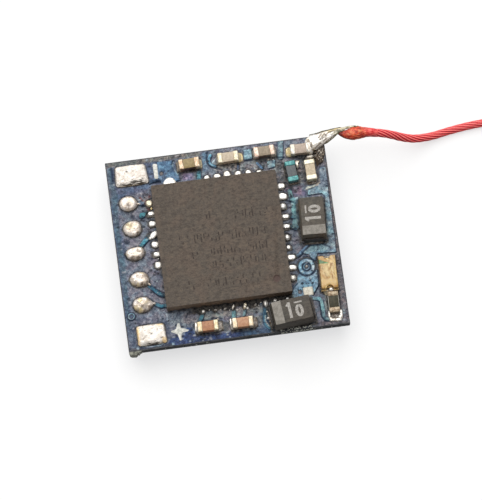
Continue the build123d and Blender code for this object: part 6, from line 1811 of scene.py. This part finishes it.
# ================================================================ floor, light and picture
half_floor = 1.5
mesh = bpy.data.meshes.new("floor")
steps = 13
axis = np.linspace(-half_floor, half_floor, steps)
mesh.from_pydata([(x, y, 0.0) for x in axis for y in axis], [],
                 [(i * steps + j, (i + 1) * steps + j, (i + 1) * steps + j + 1, i * steps + j + 1) for i in range(steps - 1) for j in range(steps - 1)])
mesh.materials.append(floor_white)
floor = bpy.data.objects.new("floor", mesh)
bpy.context.scene.collection.objects.link(floor)
floor.visible_diffuse = False
floor.visible_glossy = False
floor.visible_transmission = False

# soft room light: brighter behind the board than in front of it, dim below
world = bpy.data.worlds.new("studio")
bpy.context.scene.world = world
world.use_nodes = True
tree = world.node_tree
tree.nodes.clear()
out = tree.nodes.new("ShaderNodeOutputWorld")
back = tree.nodes.new("ShaderNodeBackground")
place = tree.nodes.new("ShaderNodeTexCoord")
parts = tree.nodes.new("ShaderNodeSeparateXYZ")
tree.links.new(place.outputs["Generated"], parts.inputs[0])
front_back = tree.nodes.new("ShaderNodeMapRange")
front_back.interpolation_type = "SMOOTHSTEP"
tree.links.new(parts.outputs["Y"], front_back.inputs["Value"])
for key, value in (("From Min", -0.75), ("From Max", 0.75), ("To Min", 0.25), ("To Max", 0.57)):
    front_back.inputs[key].default_value = value
low_high = tree.nodes.new("ShaderNodeMapRange")
low_high.interpolation_type = "SMOOTHSTEP"
tree.links.new(parts.outputs["Z"], low_high.inputs["Value"])
for key, value in (("From Min", -0.35), ("From Max", 0.05), ("To Min", 0.70), ("To Max", 1.0)):
    low_high.inputs[key].default_value = value
both = tree.nodes.new("ShaderNodeMath")
both.operation = "MULTIPLY"
tree.links.new(front_back.outputs[0], both.inputs[0])
tree.links.new(low_high.outputs[0], both.inputs[1])
band = tree.nodes.new("ShaderNodeMapRange")
band.interpolation_type = "SMOOTHSTEP"
tree.links.new(parts.outputs["Z"], band.inputs["Value"])
for key, value in (("From Min", 0.02), ("From Max", 0.42), ("To Min", 1.55), ("To Max", 1.0)):
    band.inputs[key].default_value = value
whole = tree.nodes.new("ShaderNodeMath")
whole.operation = "MULTIPLY"
tree.links.new(both.outputs[0], whole.inputs[0])
tree.links.new(band.outputs[0], whole.inputs[1])
back.inputs["Color"].default_value = (1.0, 1.0, 1.01, 1)
tree.links.new(whole.outputs[0], back.inputs["Strength"])
tree.links.new(back.outputs[0], out.inputs[0])


def lamp(name, place, size, watts, colour=(1, 1, 1)):
    data = bpy.data.lights.new(name, "AREA")
    data.shape = "SQUARE"
    data.size = size
    data.energy = watts
    data.color = colour
    o = bpy.data.objects.new(name, data)
    bpy.context.scene.collection.objects.link(o)
    o.location = place
    o.rotation_mode = "QUATERNION"
    o.rotation_quaternion = (Vector((0.001, 0, 0)) - Vector(place)).to_track_quat("-Z", "Y")
    return o


lamp("key", (-0.03, 0.16, 0.30), 0.40, 1.35, (1.0, 0.995, 0.98))

settings = bpy.context.scene.view_settings
settings.view_transform = "Standard"
settings.look = "None"
settings.exposure = 0.0
settings.gamma = 1.0
